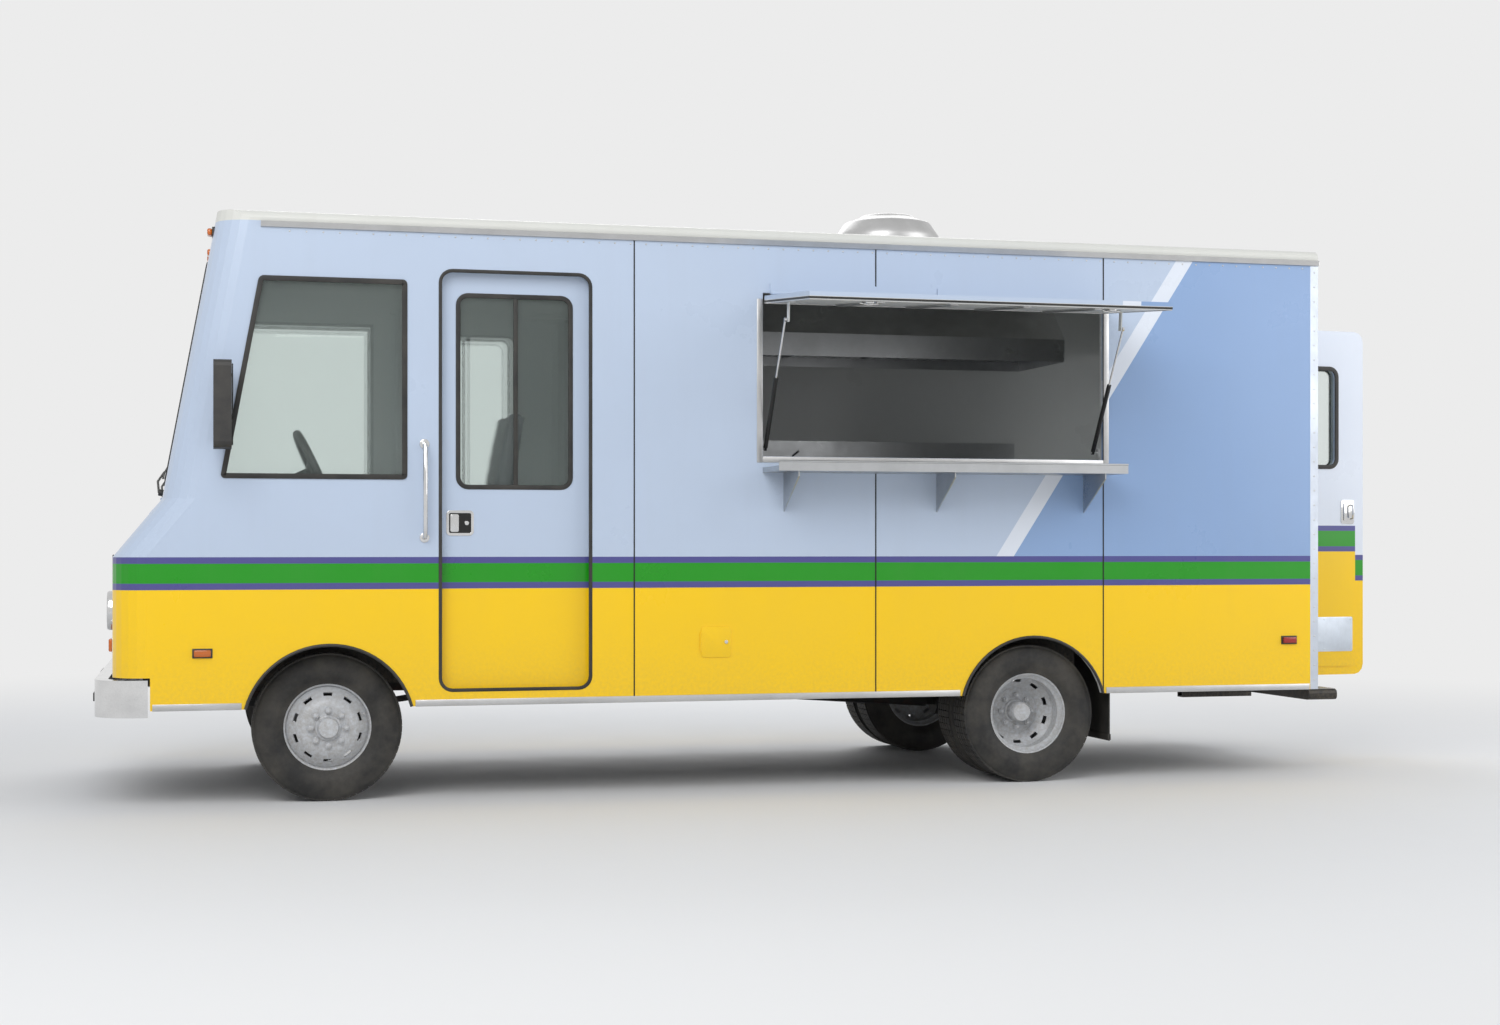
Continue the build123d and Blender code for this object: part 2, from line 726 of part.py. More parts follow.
def envelope(inset):
    """The body's outer form, moved inwards by a distance."""
    stations = (
        (SKIRT_Z, NOSE_X),
        (NOSE_TOP_Z, NOSE_X),
        (WINDSHIELD_BASE_Z, WINDSHIELD_BASE_X),
        (ROOF_Z + ROOF_CROWN, ROOF_FRONT_X),
    )
    half = BODY_HALF - inset
    radius = FRONT_CORNER_R - inset
    chords = CORNER_CHORDS if inset else NOSE_CHORDS
    whole = None
    for (low_z, low_x), (high_z, high_x) in zip(stations, stations[1:]):
        rise = Vector(high_x - low_x, 0, high_z - low_z)
        bottom = Pos(0, 0, low_z) * plan(low_x + inset, half, radius, REAR_X - inset, chords)
        piece = extrude(bottom, amount=rise.length, dir=rise)
        whole = piece if whole is None else whole + piece
    limit = block((NOSE_X - 1, REAR_X - inset), (-BODY_HALF, BODY_HALF), (0, 2 * ROOF_Z))
    return whole & limit & roof_limit(inset)


def roof_limit(inset):
    """A crowned roof line with rounded edges, along the whole body."""
    half = BODY_HALF - inset
    top = ROOF_Z - inset
    radius = ROOF_EDGE_R
    line = [
        Line((-half, SKIRT_Z - 20), (-half, top - radius)),
        RadiusArc((-half, top - radius), (-half + radius, top), radius),
        ThreePointArc((-half + radius, top), (0, top + ROOF_CROWN), (half - radius, top)),
        RadiusArc((half - radius, top), (half, top - radius), radius),
        Line((half, top - radius), (half, SKIRT_Z - 20)),
        Line((half, SKIRT_Z - 20), (-half, SKIRT_Z - 20)),
    ]
    face = Plane.YZ * make_face(line)
    return Pos(NOSE_X - 100, 0, 0) * extrude(face, REAR_X - NOSE_X + 200)


def arch(axle_x):
    """The cut that leaves room for a wheel on both sides."""
    radius = clear_of(ARCH_R, ARCH_SIDES)
    return rod_y(radius, axle_x, (-BODY_HALF - 10, BODY_HALF + 10), HUB_Z, ARCH_SIDES)


def glass_cuts():
    """The windshield's two panes and the quarter lights, as prisms through the wall."""
    cuts = []
    for side in (-1, 1):
        ys = sorted((side * GLASS_Y[0], side * GLASS_Y[1]))
        cuts.append(rounded_x(ys, GLASS_Z, (NOSE_X, ROOF_FRONT_X + 300), OPENING_R, OPENING_CHORDS))
        ys = sorted((side * (INNER_HALF - 10), side * (BODY_HALF + 10)))
        slope = (GLASS_Z[1] - GLASS_Z[0]) * QUARTER_SLOPE
        quarter = prism_y(
            [
                (QUARTER_X[0] - slope, QUARTER_Z[0]),
                (QUARTER_X[1], QUARTER_Z[0]),
                (QUARTER_X[1], QUARTER_Z[1]),
                (QUARTER_X[0], QUARTER_Z[1]),
            ],
            ys,
        )
        cuts.append(quarter)
    return cuts


def hood_prism(grow):
    """The hood's opening, seen from above, with a gap round the lid."""
    half = HOOD_HALF + grow
    xs = (NOSE_X - 50, WINDSHIELD_BASE_X - HOOD_IN + grow)
    return block(xs, (-half, half), (NOSE_TOP_Z + HOOD_IN - grow, WINDSHIELD_BASE_Z + 20))


def hinge(length, count, pitch):
    """Hinges along local X: the fixed half lies towards +Y, the moving half towards -Y.

    The local surface that carries them is z = -HINGE_OFF. Each hinge lifts off: its
    fixed half has one ring with the pin, and its moving half the ring that turns on it.
    """
    fixed = []
    moving = []
    base = -HINGE_OFF
    plate_z = (base, base + HINGE_PLATE_T)
    for number in range(count):
        x = (number - (count - 1) / 2) * pitch
        ends = (x - length / 2, x + length / 2)
        low = (ends[0], x - SEAT_GAP)
        high = (x + SEAT_GAP, ends[1])
        fixed.append(rod_x(HINGE_R, low, 0, 0, RING_SIDES))
        fixed.append(rod_x(HINGE_PIN_R, (x - 10, ends[1]), 0, 0, PIN_SIDES))
        fixed.append(block(ends, (HINGE_R + 1, HINGE_PLATE_W), plate_z))
        fixed.append(block(low, (-1, HINGE_R + 2), (base, -HINGE_PIN_R)))
        ring = rod_x(HINGE_R, high, 0, 0, RING_SIDES) - rod_x(PIN_HOLE_R, high, 0, 0, PIN_SIDES)
        tongue = block(high, (-HINGE_R - 2, -HINGE_PIN_R - 1), (base + 1, 0))
        plate = block(ends, (-HINGE_PLATE_W, -HINGE_R - 1), plate_z)
        moving.append(ring + tongue + plate)
    fixed_half = fixed[0]
    for piece in fixed[1:]:
        fixed_half = fixed_half + piece
    return fixed_half, moving


shell = envelope(0) - envelope(WALL)
shell = shell - block((NOSE_X - 20, REAR_X + 20), (-INNER_HALF, INNER_HALF), (SKIRT_Z - 1, SKIRT_Z + WALL + 1))
shell = shell - arch(FRONT_X) - arch(AXLE_X)


def roof():
    """The crowned roof panel with its rounded edges."""
    return shell & block((NOSE_X, REAR_X), (-BODY_HALF, BODY_HALF), (ROOF_JOIN_Z, ROOF_Z + 100))


def panels(body, axis, joints):
    """A body cut into panels at its joints along one axis, with a hairline between them."""
    places = [-2 * REAR_X, *joints, 2 * REAR_X]
    pieces = []
    for low, high in zip(places, places[1:]):
        spans = [(-2 * REAR_X, 2 * REAR_X)] * 3
        spans[axis] = (low + SEAT_GAP / 2, high - SEAT_GAP / 2)
        pieces.append(body & block(*spans))
    return pieces


def front_cowl():
    """The nose and windshield frame, and the two corner panels beside them."""
    cowl = shell & block((NOSE_X, COWL_X), (-BODY_HALF, BODY_HALF), (SKIRT_Z, ROOF_JOIN_Z))
    bumper_z = (SKIRT_Z - 10, BUMPER_Z[1] + 10)
    bumper_room = block((NOSE_X - 10, NOSE_X + BUMPER_WRAP + 10), (-BODY_HALF, BODY_HALF), bumper_z)
    grille_y = (-GRILLE_HALF, GRILLE_HALF)
    grille_x = (NOSE_X - 10, NOSE_X + WALL + 10)
    grille_room = rounded_x(grille_y, GRILLE_Z, grille_x, GRILLE_R, CORNER_CHORDS)
    cowl = cowl - bumper_room - grille_room - hood_prism(MOVE_GAP)
    for cut in glass_cuts():
        cowl = cowl - cut
    joint = BODY_HALF - NOSE_SIDE_IN
    left, nose, right = panels(cowl, 1, (-joint, joint))
    return [left, nose + cowl_hinges(), right]


def fixed_glass():
    """The panes of the windshield and the quarter lights, set into the wall."""
    layer = envelope(WALL / 2 - GLASS_T / 2) - envelope(WALL / 2 + GLASS_T / 2)
    return [layer & cut for cut in glass_cuts()]


def side_wall(opening):
    """The right wall behind the cowl: door panel, upper and lower panels, and door tracks."""
    wall = shell & block((COWL_X, REAR_IN_X), (INNER_HALF - 1, BODY_HALF), (SKIRT_Z, ROOF_JOIN_Z))
    cut_y = (INNER_HALF - 10, BODY_HALF + 10)
    doorway = rounded_y(CAB_DOOR_X, CAB_DOOR_Z, cut_y, OPENING_R, OPENING_CHORDS)
    if opening:
        wall = wall - opening
    door_panel, rest = panels(wall - doorway, 0, (DOOR_SEAM_X,))
    lower, upper = panels(rest, 2, (PANEL_JOINT_Z,))
    lap = CAB_DOOR_LAP + SEAT_GAP
    heights = (CAB_DOOR_Z[0] - lap - TRACK_T, CAB_DOOR_Z[1] + lap)
    ys = (DOOR_LEAF_IN, INNER_HALF - SEAT_GAP)
    tracks = [block((COWL_X + 10, POCKET_END), ys, (z, z + TRACK_T)) for z in heights]
    return [door_panel, lower, upper, *tracks]


def serving_wall(fittings):
    """The left wall, with the serving opening and what is fixed round it."""
    ys = (INNER_HALF - 10, BODY_HALF + 10)
    opening = block((HATCH_FRONT_X, HATCH_REAR_X), ys, (SILL_Z, HATCH_TOP_Z))
    door_panel, lower, upper, *tracks = [other_side(piece) for piece in side_wall(opening)]
    for fitting in fittings:
        upper = upper + fitting
    return [door_panel, lower, upper, *tracks]


def rear_wall():
    """The tail panel, with the doorway down to the skirt."""
    wall = block((REAR_IN_X, REAR_X), (-INNER_HALF, INNER_HALF), (SKIRT_Z, ROOF_JOIN_Z))
    heights = (SKIRT_Z - 10, REAR_DOOR_TOP + MOVE_GAP)
    return wall - block((REAR_IN_X - 10, REAR_X + 10), REAR_DOOR_Y, heights)


def corner_posts():
    """The bright posts at the two rear corners."""
    post = block((REAR_IN_X, REAR_X), (INNER_HALF, BODY_HALF), (SKIRT_Z, ROOF_JOIN_Z))
    return [post, other_side(post)]


def floor():
    """The deck, cut for the engine cover, the steps and the cab door pockets."""
    deck = block((ENGINE_HOLE_X[0], REAR_IN_X), (-INNER_HALF, INNER_HALF), (FLOOR_Z, FLOOR_TOP))
    hole_x = (ENGINE_HOLE_X[0] - 10, ENGINE_HOLE_X[1])
    deck = deck - block(hole_x, (-ENGINE_HOLE_HALF, ENGINE_HOLE_HALF), (FLOOR_Z - 10, FLOOR_TOP + 10))
    deck = deck - block((REAR_STEP_X, REAR_X), REAR_DOOR_Y, (FLOOR_Z - 10, FLOOR_TOP + 10))
    for side in (-1, 1):
        steps = sorted((side * STEP_IN_Y, side * BODY_HALF))
        deck = deck - block(CAB_DOOR_X, steps, (FLOOR_Z - 10, FLOOR_TOP + 10))
        pocket = sorted((side * POCKET_Y, side * BODY_HALF))
        deck = deck - block((COWL_X, POCKET_END), pocket, (FLOOR_Z - 10, FLOOR_TOP + 10))
    return deck


def tray(x, y, open_side):
    """A step tray that hangs in a cut of the deck, open on one side."""
    outer = block(x, y, (STEP_Z, FLOOR_TOP))
    inner_x = [x[0] + STEP_T, x[1] - STEP_T]
    inner_y = [y[0] + STEP_T, y[1] - STEP_T]
    if open_side == "x":
        inner_x[1] = x[1] + 1
    if open_side == "y":
        inner_y[1] = y[1] + 1
    return outer - block(inner_x, inner_y, (STEP_Z + STEP_T, FLOOR_TOP + 1))


def stepwells():
    """The two cab steps and the step inside the rear door."""
    cab = tray(CAB_DOOR_X, (STEP_IN_Y, POCKET_Y), "y")
    rear = tray((REAR_STEP_X, REAR_IN_X), REAR_DOOR_Y, "x")
    return [cab, other_side(cab), rear]


def hood_hinge(points, y):
    """One arm of a hood hinge, from its ring round the pin to the panel."""
    return prism_y([HOOD_PIN, *points], y) + rod_y(8, HOOD_PIN[0], y, HOOD_PIN[1], PIN_SIDES)


def cowl_hinges():
    """The fixed arms and pins of the hood's hinges."""
    x, z = HOOD_PIN
    arms = []
    for y in HOOD_HINGE_Y:
        for ys in ((y - 30, y - 13), (y + 13, y + 30)):
            arms.append(hood_hinge([(x + 4, z - 30), (x + 30, z - 10), (x + 22, z + 26)], ys))
        arms.append(rod_y(HINGE_PIN_R, x, (y - 20, y + 20), z, PIN_SIDES))
    return arms


def hood():
    """The lid over the nose, hinged under the windshield."""
    lid = (envelope(0) - envelope(HOOD_T)) & hood_prism(0)
    x, z = HOOD_PIN
    for y in HOOD_HINGE_Y:
        ys = (y - 12, y + 12)
        lid = lid + hood_hinge([(x - 60, z - 70), (x - 40, z - 80), (x - 8, z - 44)], ys)
        lid = lid - rod_y(PIN_HOLE_R, x, ys, z, PIN_SIDES)
    return lid


def grille():
    """A surround and level bars in the nose's opening."""
    z0, z1 = GRILLE_Z
    half = GRILLE_HALF - GRILLE_BORDER
    inside_z = (z0 + GRILLE_BORDER, z1 - GRILLE_BORDER)
    outer_x = (NOSE_X - 12, NOSE_X + WALL)
    outer = rounded_x((-GRILLE_HALF, GRILLE_HALF), GRILLE_Z, outer_x, GRILLE_R, CORNER_CHORDS)
    inner = rounded_x((-half, half), inside_z, (NOSE_X - 20, NOSE_X + WALL + 10), GRILLE_R / 2, 1)
    body = outer - inner
    pitch = (inside_z[1] - inside_z[0]) / GRILLE_BARS
    for number in range(GRILLE_BARS):
        z = inside_z[0] + pitch * (number + 0.5)
        bar = prism_y(
            [(NOSE_X - 6, z - 4), (NOSE_X + 30, z - 12), (NOSE_X + 30, z + 4), (NOSE_X - 6, z + 12)],
            (-half - 5, half + 5),
        )
        body = body + bar
    return body


def headlamps():
    """Round lamps and the turn lamps beneath them, on the nose."""
    lamps = []
    for side in (-1, 1):
        y = side * LAMP_Y
        lamps.append(rod_x(LAMP_R, (NOSE_X - 30, NOSE_X), y, LAMP_Z, LAMP_SIDES))
        ys = sorted((y - 75, y + 75))
        lamps.append(block((NOSE_X - 22, NOSE_X), ys, (LAMP_Z - 190, LAMP_Z - 130)))
    return lamps


def bumper_plan(front_x, half, radius, rear_x):
    """The bumper's outline seen from above, with rounded front corners."""
    line = [
        Line((rear_x, -half), (front_x + radius, -half)),
        RadiusArc((front_x + radius, -half), (front_x, -half + radius), radius),
        Line((front_x, -half + radius), (front_x, half - radius)),
        RadiusArc((front_x, half - radius), (front_x + radius, half), radius),
        Line((front_x + radius, half), (rear_x, half)),
        Line((rear_x, half), (rear_x, -half)),
    ]
    return Pos(0, 0, BUMPER_Z[0]) * make_face(line)


def front_bumper():
    """A box-section bumper that wraps the front corners, with its two irons."""
    reach = NOSE_X - BUMPER_REACH
    radius = FRONT_CORNER_R + BUMPER_REACH / 2
    back = NOSE_X + BUMPER_WRAP
    height = BUMPER_Z[1] - BUMPER_Z[0]
    outer = bumper_plan(reach, BODY_HALF, radius, back)
    inner = bumper_plan(reach + BUMPER_T, BODY_HALF - BUMPER_T, radius - BUMPER_T, back + 1)
    bar = extrude(outer, height) - extrude(inner, height)
    for side in (-1, 1):
        ys = sorted((side * (RAIL_OUT_Y - RAIL_FLANGE), side * RAIL_OUT_Y))
        xs = (reach + BUMPER_T - 1, NOSE_X + RAIL_START)
        bar = bar + block(xs, ys, (RAIL_Z + 5, BUMPER_Z[1] - 5))
    return bar


def rear_bumper():
    """A step bumper on drop irons, with the towing receiver beneath."""
    irons_z = (400, SKIRT_Z - MOVE_GAP)
    half = BODY_HALF - STEP_IN
    xs = (REAR_X + MOVE_GAP, REAR_X + MOVE_GAP + STEP_DEPTH)
    step = rounded_x((-half, half), (385, SKIRT_Z - 10), xs, 20, CORNER_CHORDS)
    bar_x = [REAR_X + reach for reach in RECEIVER_BAR]
    body = step + block(bar_x, (-RAIL_OUT_Y, RAIL_OUT_Y), irons_z)
    for side in (-1, 1):
        ys = sorted((side * (RAIL_OUT_Y - RAIL_FLANGE), side * RAIL_OUT_Y))
        body = body + block((REAR_STEP_X - 120, REAR_X + 20), ys, irons_z)
        body = body + block((REAR_STEP_X - 120, REAR_STEP_X - 20), ys, (irons_z[0], RAIL_Z))
    half = RECEIVER / 2
    hole = RECEIVER_IN / 2
    tube_x = (bar_x[0] - 50, RECEIVER_PIN_X + 55)
    bore_x = (tube_x[0] - 10, tube_x[1] + 5)
    tube = block(tube_x, (-half, half), (RECEIVER_Z - half, RECEIVER_Z + half))
    bore = block(bore_x, (-hole, hole), (RECEIVER_Z - hole, RECEIVER_Z + hole))
    pin = rod_y(RECEIVER_PIN_R, RECEIVER_PIN_X, (-half - 5, half + 5), RECEIVER_Z)
    return body + tube - bore - pin


def tail_lamps():
    """Two round lamps on each side of the tail."""
    return [
        rod_x(TAIL_LAMP_R, (REAR_X, REAR_X + 24), side * (BODY_HALF - TAIL_LAMP_IN), z, LAMP_SIDES)
        for side in (-1, 1)
        for z in TAIL_LAMP_Z
    ]


def pillar_x(z):
    """The middle of the windshield pillar's flat side at a height."""
    share = (z - WINDSHIELD_BASE_Z) / (ROOF_Z - WINDSHIELD_BASE_Z)
    front = WINDSHIELD_BASE_X + share * (ROOF_FRONT_X - WINDSHIELD_BASE_X)
    return front + FRONT_CORNER_R + 44


def mirrors():
    """Tall mirrors on looped arms, on the front corners."""
    heads = []
    for side in (-1, 1):
        out = side * (BODY_HALF + MIRROR_OUT)
        wall_y = side * BODY_HALF
        x = pillar_x((MIRROR_Z[0] + MIRROR_Z[1]) / 2)
        ys = sorted((out - MIRROR_W / 2, out + MIRROR_W / 2))
        head = rounded_x(ys, MIRROR_Z, (x - 45, x + 35), 30, CORNER_CHORDS)
        for z in MIRROR_ARM_Z:
            head = head + rod_y(MIRROR_ARM_R, pillar_x(z), sorted((wall_y, out)), z, PIN_SIDES)
        heads.append(head)
    return heads


# Doors and hatch

def cab_door():
    """The right sliding leaf, closed over its doorway, with the window cut."""
    lap = CAB_DOOR_LAP
    xs = (CAB_DOOR_X[0] - lap, CAB_DOOR_X[1] + lap)
    zs = (CAB_DOOR_Z[0] - lap, CAB_DOOR_Z[1] + lap)
    leaf = block(xs, (DOOR_LEAF_IN, DOOR_LEAF_OUT), zs)
    glazed = (DOOR_LEAF_IN - 5, DOOR_LEAF_OUT + 5)
    window_x = (xs[0] + CAB_WINDOW_IN, xs[1] - CAB_WINDOW_IN)
    window_z = (CAB_WINDOW_Z, zs[1] - CAB_WINDOW_DROP)
    window = rounded_y(window_x, window_z, glazed, WINDOW_R, OPENING_CHORDS)
    return leaf - window


def rear_door_closed():
    """The rear leaf in its doorway: slab, raised panel and window."""
    ys = (REAR_DOOR_Y[0] + MOVE_GAP, REAR_DOOR_Y[1] - MOVE_GAP)
    zs = (SKIRT_Z + MOVE_GAP, REAR_DOOR_TOP)
    slab = rounded_x(ys, zs, (REAR_IN_X, REAR_X), DOOR_CORNER_R, OPENING_CHORDS)
    border = DOOR_PANEL_BORDER
    panel_z = (zs[0] + border - 10, zs[1] - border)
    raised = (REAR_X, REAR_X + DOOR_PANEL_PROUD)
    panel = rounded_x((ys[0] + border, ys[1] - border), panel_z, raised, 30, OPENING_CHORDS)
    window_y = (ys[0] + REAR_WINDOW_IN, ys[1] - REAR_WINDOW_IN)
    window_x = (REAR_IN_X - 5, REAR_X + 20)
    window = rounded_x(window_y, REAR_WINDOW_Z, window_x, WINDOW_R, OPENING_CHORDS)
    return slab + panel - window


fixed_hinges, moving_hinges = hinge(HINGE_LEN, 3, REAR_HINGE_PITCH)
rear_place = Plane(
    origin=(REAR_HINGE_X, REAR_HINGE_Y, REAR_HINGE_Z),
    x_dir=(0, 0, 1),
    z_dir=(1, 0, 0),
)


def rear_door():
    """The rear leaf with its hinge halves, swung open to its place at rest."""
    leaf = rear_door_closed()
    for piece in moving_hinges:
        leaf = leaf + rear_place * piece
    axis = Axis((REAR_HINGE_X, REAR_HINGE_Y, 0), (0, 0, 1))
    return leaf.rotate(axis, -REAR_DOOR_OPEN)


hatch_fixed, hatch_moving = hinge(HATCH_HINGE_LEN, 2, HATCH_HINGE_LEN + MOVE_GAP)
hatch_place = Plane(
    origin=(HATCH_MID_X, HATCH_HINGE_Y, HATCH_HINGE_Z),
    x_dir=(1, 0, 0),
    z_dir=(0, -1, 0),
)


def hatch_bracket(x, side):
    """An ear on the hatch's inner face; its stub points at the rod's eye."""
    z = HATCH_HINGE_Z - STRUT_D
    inner = -BODY_HALF + HATCH_T
    ear = block(sorted((x + side * 12, x + side * 18)), (inner, STRUT_TOP_Y + 10), (z - 14, z + 14))
    foot = block(sorted((x + side * 12, x + side * 42)), (inner, inner + 5), (z - 25, z + 25))
    stub = rod_x(STRUT_PIN_R, sorted((x + side * 9, x + side * 13)), STRUT_TOP_Y, z, PIN_SIDES)
    return ear + foot + stub


def service_hatch():
    """The awning hatch with its hinge halves and strut ears, open at rest."""
    xs = (HATCH_FRONT_X + MOVE_GAP, HATCH_REAR_X - MOVE_GAP)
    zs = (SILL_Z + MOVE_GAP, HATCH_TOP_Z - MOVE_GAP)
    leaf = block(xs, (-BODY_HALF, -BODY_HALF + HATCH_T), zs)
    for piece in hatch_moving:
        leaf = leaf + hatch_place * piece
    for x, side in zip(STRUT_X, (1, -1)):
        leaf = leaf + hatch_bracket(x, side)
    axis = Axis((0, HATCH_HINGE_Y, HATCH_HINGE_Z), (1, 0, 0))
    return leaf.rotate(axis, -HATCH_OPEN)


def strut_ends():
    """The strut's lower and upper pins at rest, as (y, z)."""
    angle = math.radians(-HATCH_OPEN)
    dy = STRUT_TOP_Y - HATCH_HINGE_Y
    dz = -STRUT_D
    y = HATCH_HINGE_Y + dy * math.cos(angle) - dz * math.sin(angle)
    z = HATCH_HINGE_Z + dy * math.sin(angle) + dz * math.cos(angle)
    return STRUT_LOW, (y, z)


def struts():
    """Barrels, rods and the brackets on the jambs, for both ends of the hatch."""
    low, high = strut_ends()
    length = math.dist(low, high)
    barrels = []
    rods = []
    brackets = []
    for x, side in zip(STRUT_X, (1, -1)):
        plane = Plane(
            origin=(x, low[0], low[1]),
            x_dir=(1, 0, 0),
            z_dir=(0, high[0] - low[0], high[1] - low[1]),
        )
        eye = rod_x(STRUT_EYE_R, (-6, 6), 0, 0, PIN_SIDES)
        barrel = eye + rod_z(STRUT_BARREL_R, 0, 0, (8, STRUT_BARREL), RING_SIDES)
        barrel = barrel - rod_z(STRUT_BORE_R, 0, 0, (14, STRUT_BARREL + 1), PIN_SIDES)
        barrel = barrel - rod_x(STRUT_PIN_HOLE_R, (-7, 7), 0, 0, PIN_SIDES)
        barrels.append(plane * barrel)
        ring = rod_x(STRUT_EYE_R, (-5, 5), 0, 0, PIN_SIDES) - rod_x(STRUT_PIN_HOLE_R, (-6, 6), 0, 0, PIN_SIDES)
        eye_high = Pos(0, 0, length) * ring
        rod = rod_z(STRUT_ROD_R, 0, 0, (STRUT_BARREL - 20, length - 8), PIN_SIDES) + eye_high
        rods.append(plane * rod)
        jamb = x - side * STRUT_INSET
        foot_x = sorted((jamb - side * 30, jamb + side * 4))
        foot = block(foot_x, (-INNER_HALF, -INNER_HALF + 34), (low[1] - 20, low[1] + 20))
        pin = rod_x(STRUT_PIN_R, sorted((jamb, x + side * 8)), low[0], low[1], PIN_SIDES)
        brackets.append(foot + pin)
    return barrels, rods, brackets


# Serving side and kitchen

def serving_shelf():
    """The shelf under the opening, on three gusseted brackets."""
    xs = (HATCH_FRONT_X, HATCH_REAR_X)
    front = -BODY_HALF - SHELF_DEPTH
    under = SHELF_TOP - SHELF_T
    shelf = block(xs, (front, -BODY_HALF), (under, SHELF_TOP))
    lip = block(xs, (front, front + SHEET_T), (SHELF_TOP, SHELF_TOP + 20))
    body = shelf + lip
    outline = Plane.YZ * Polyline(
        (-BODY_HALF, under),
        (front + 30, under),
        (front + 30, under - 25),
        (-BODY_HALF, under - GUSSET_DROP),
        close=True,
    )
    for share in (0.06, 0.5, 0.94):
        x = HATCH_FRONT_X + share * (HATCH_REAR_X - HATCH_FRONT_X)
        gusset = Pos(x - GUSSET_T / 2, 0, 0) * extrude(make_face(outline), GUSSET_T)
        body = body + gusset
    return body


def kitchen_counter():
    """The counter along the serving side, with two sinks let into it."""
    depth = (-INNER_HALF + 2 * MOVE_GAP, -INNER_HALF + COUNTER_DEPTH)
    top = SILL_Z - COUNTER_DROP
    foot = FLOOR_TOP + KICK_H
    xs = (POCKET_END + 10, REAR_IN_X - 60)
    bench = block(xs, depth, (foot, top))
    kick = block((xs[0] + 20, xs[1] - 20), (depth[0], depth[1] - 60), (FLOOR_TOP, foot))
    bay_y = (depth[0] + 40, depth[1] + 10)
    bays = [block((x, x + BAY_W), bay_y, (foot + 40, top - 200)) for x in BAY_X]
    sink_y = (depth[0] + 90, depth[1] - 70)
    sinks = [block((x, x + SINK_W), sink_y, (top - SINK_DEPTH, top + 1)) for x in SINK_X]
    return bench + kick - bays - sinks


def cook_line():
    """Fryers, griddle and range on one stand at the other wall."""
    ys = (INNER_HALF - COOK_DEPTH, INNER_HALF)
    top = FLOOR_TOP + COOK_H
    foot_z = (FLOOR_TOP, FLOOR_TOP + COOK_FOOT_H)
    width = COOK_FOOT_W
    stand = block(COOK_X, ys, (foot_z[1], top))
    feet = []
    for x in (COOK_X[0] + 20, COOK_X[1] - 20 - width):
        for y in (ys[0] + 20, ys[1] - 30 - width):
            feet.append(block((x, x + width), (y, y + width), foot_z))
    well_y = (ys[0] + 90, ys[1] - 120)
    wells = [block((x, x + FRYER_W), well_y, (top - 200, top + 1)) for x in FRYER_X]
    griddle = block(GRIDDLE_X, (ys[0] + 60, ys[1] - 60), (top - 12, top + 1))
    splash = block(COOK_X, (ys[1] - 20, ys[1]), (top, top + SPLASH_H))
    oven = block(OVEN_X, (ys[0] - 1, ys[1] - 150), (FLOOR_TOP + 300, top - 120))
    return stand + feet + splash - wells - griddle - oven


def range_hood():
    """The extraction canopy, open beneath, from the ceiling over the cook line."""
    xs = (COOK_X[0] - CANOPY_OVER, COOK_X[1] + CANOPY_OVER)
    front = INNER_HALF - CANOPY_DEPTH
    low = CEILING_Z - CANOPY_DROP
    outer = Plane.YZ * Polyline(
        (front, low),
        (INNER_HALF, low),
        (INNER_HALF, ROOF_Z),
        (front + CANOPY_SLOPE, ROOF_Z),
        (front, low + CANOPY_LIP),
        close=True,
    )
    canopy = Pos(xs[0], 0, 0) * extrude(make_face(outer), xs[1] - xs[0])
    canopy = canopy & envelope(WALL)
    back = INNER_HALF - SHEET_T
    lid = CEILING_Z - 60
    inner = Plane.YZ * Polyline(
        (front + SHEET_T, low - 1),
        (back, low - 1),
        (back, lid),
        (front + CANOPY_SLOPE + SHEET_T / 2, lid),
        (front + SHEET_T, low + CANOPY_LIP - SHEET_T / 2),
        close=True,
    )
    length = xs[1] - xs[0] - 2 * SHEET_T
    hollow = Pos(xs[0] + SHEET_T, 0, 0) * extrude(make_face(inner), length)
    return canopy - hollow


def fridge():
    """An upright refrigerator behind the cab, with its door's shadow gap."""
    xs = FRIDGE_X
    ys = (POCKET_Y - 10 - FRIDGE_DEPTH, POCKET_Y - 10)
    back = ys[0] + FRIDGE_DOOR_T
    door_z = (FLOOR_TOP + FRIDGE_DOOR[0], FRIDGE_DOOR[1])
    body = block(xs, (back + 4, ys[1]), (FLOOR_TOP, FRIDGE_TOP))
    door = block((xs[0] + 2, xs[1] - 2), (ys[0], back), door_z)
    seal = block((xs[0] + 12, xs[1] - 12), (back, back + 4), (door_z[0] + 10, door_z[1] - 10))
    grip_x = (xs[1] - 70, xs[1] - 50)
    grip_y = (ys[0] - FRIDGE_HANDLE, ys[0])
    low, high = FRIDGE_HANDLE_Z
    handle = block(grip_x, grip_y, (low, low + FRIDGE_HANDLE))
    handle = handle + block(grip_x, grip_y, (high - FRIDGE_HANDLE, high))
    handle = handle + block(grip_x, (grip_y[0], grip_y[0] + 15), FRIDGE_HANDLE_Z)
    return body + door + seal + handle


def roof_vent():
    """The extraction fan's curb and spun cowl on the roof."""
    x, y = VENT_AT
    half = VENT_CURB_W / 2
    base = ROOF_Z + VENT_CURB
    curb = block((x - half, x + half), (y - half, y + half), (ROOF_Z - 30, base))
    curb = curb - envelope(0)
    spun = in_flats([(rise, radius) for rise, radius in VENT_PROFILE], VENT_SIDES)
    cap = flat_rod_y(VENT_CAP_R, VENT_SIDES, (0, VENT_PROFILE[-1][0]))
    return curb + Pos(x, y, base) * Rot(90, 0, 0) * (spun + cap)


# Cab

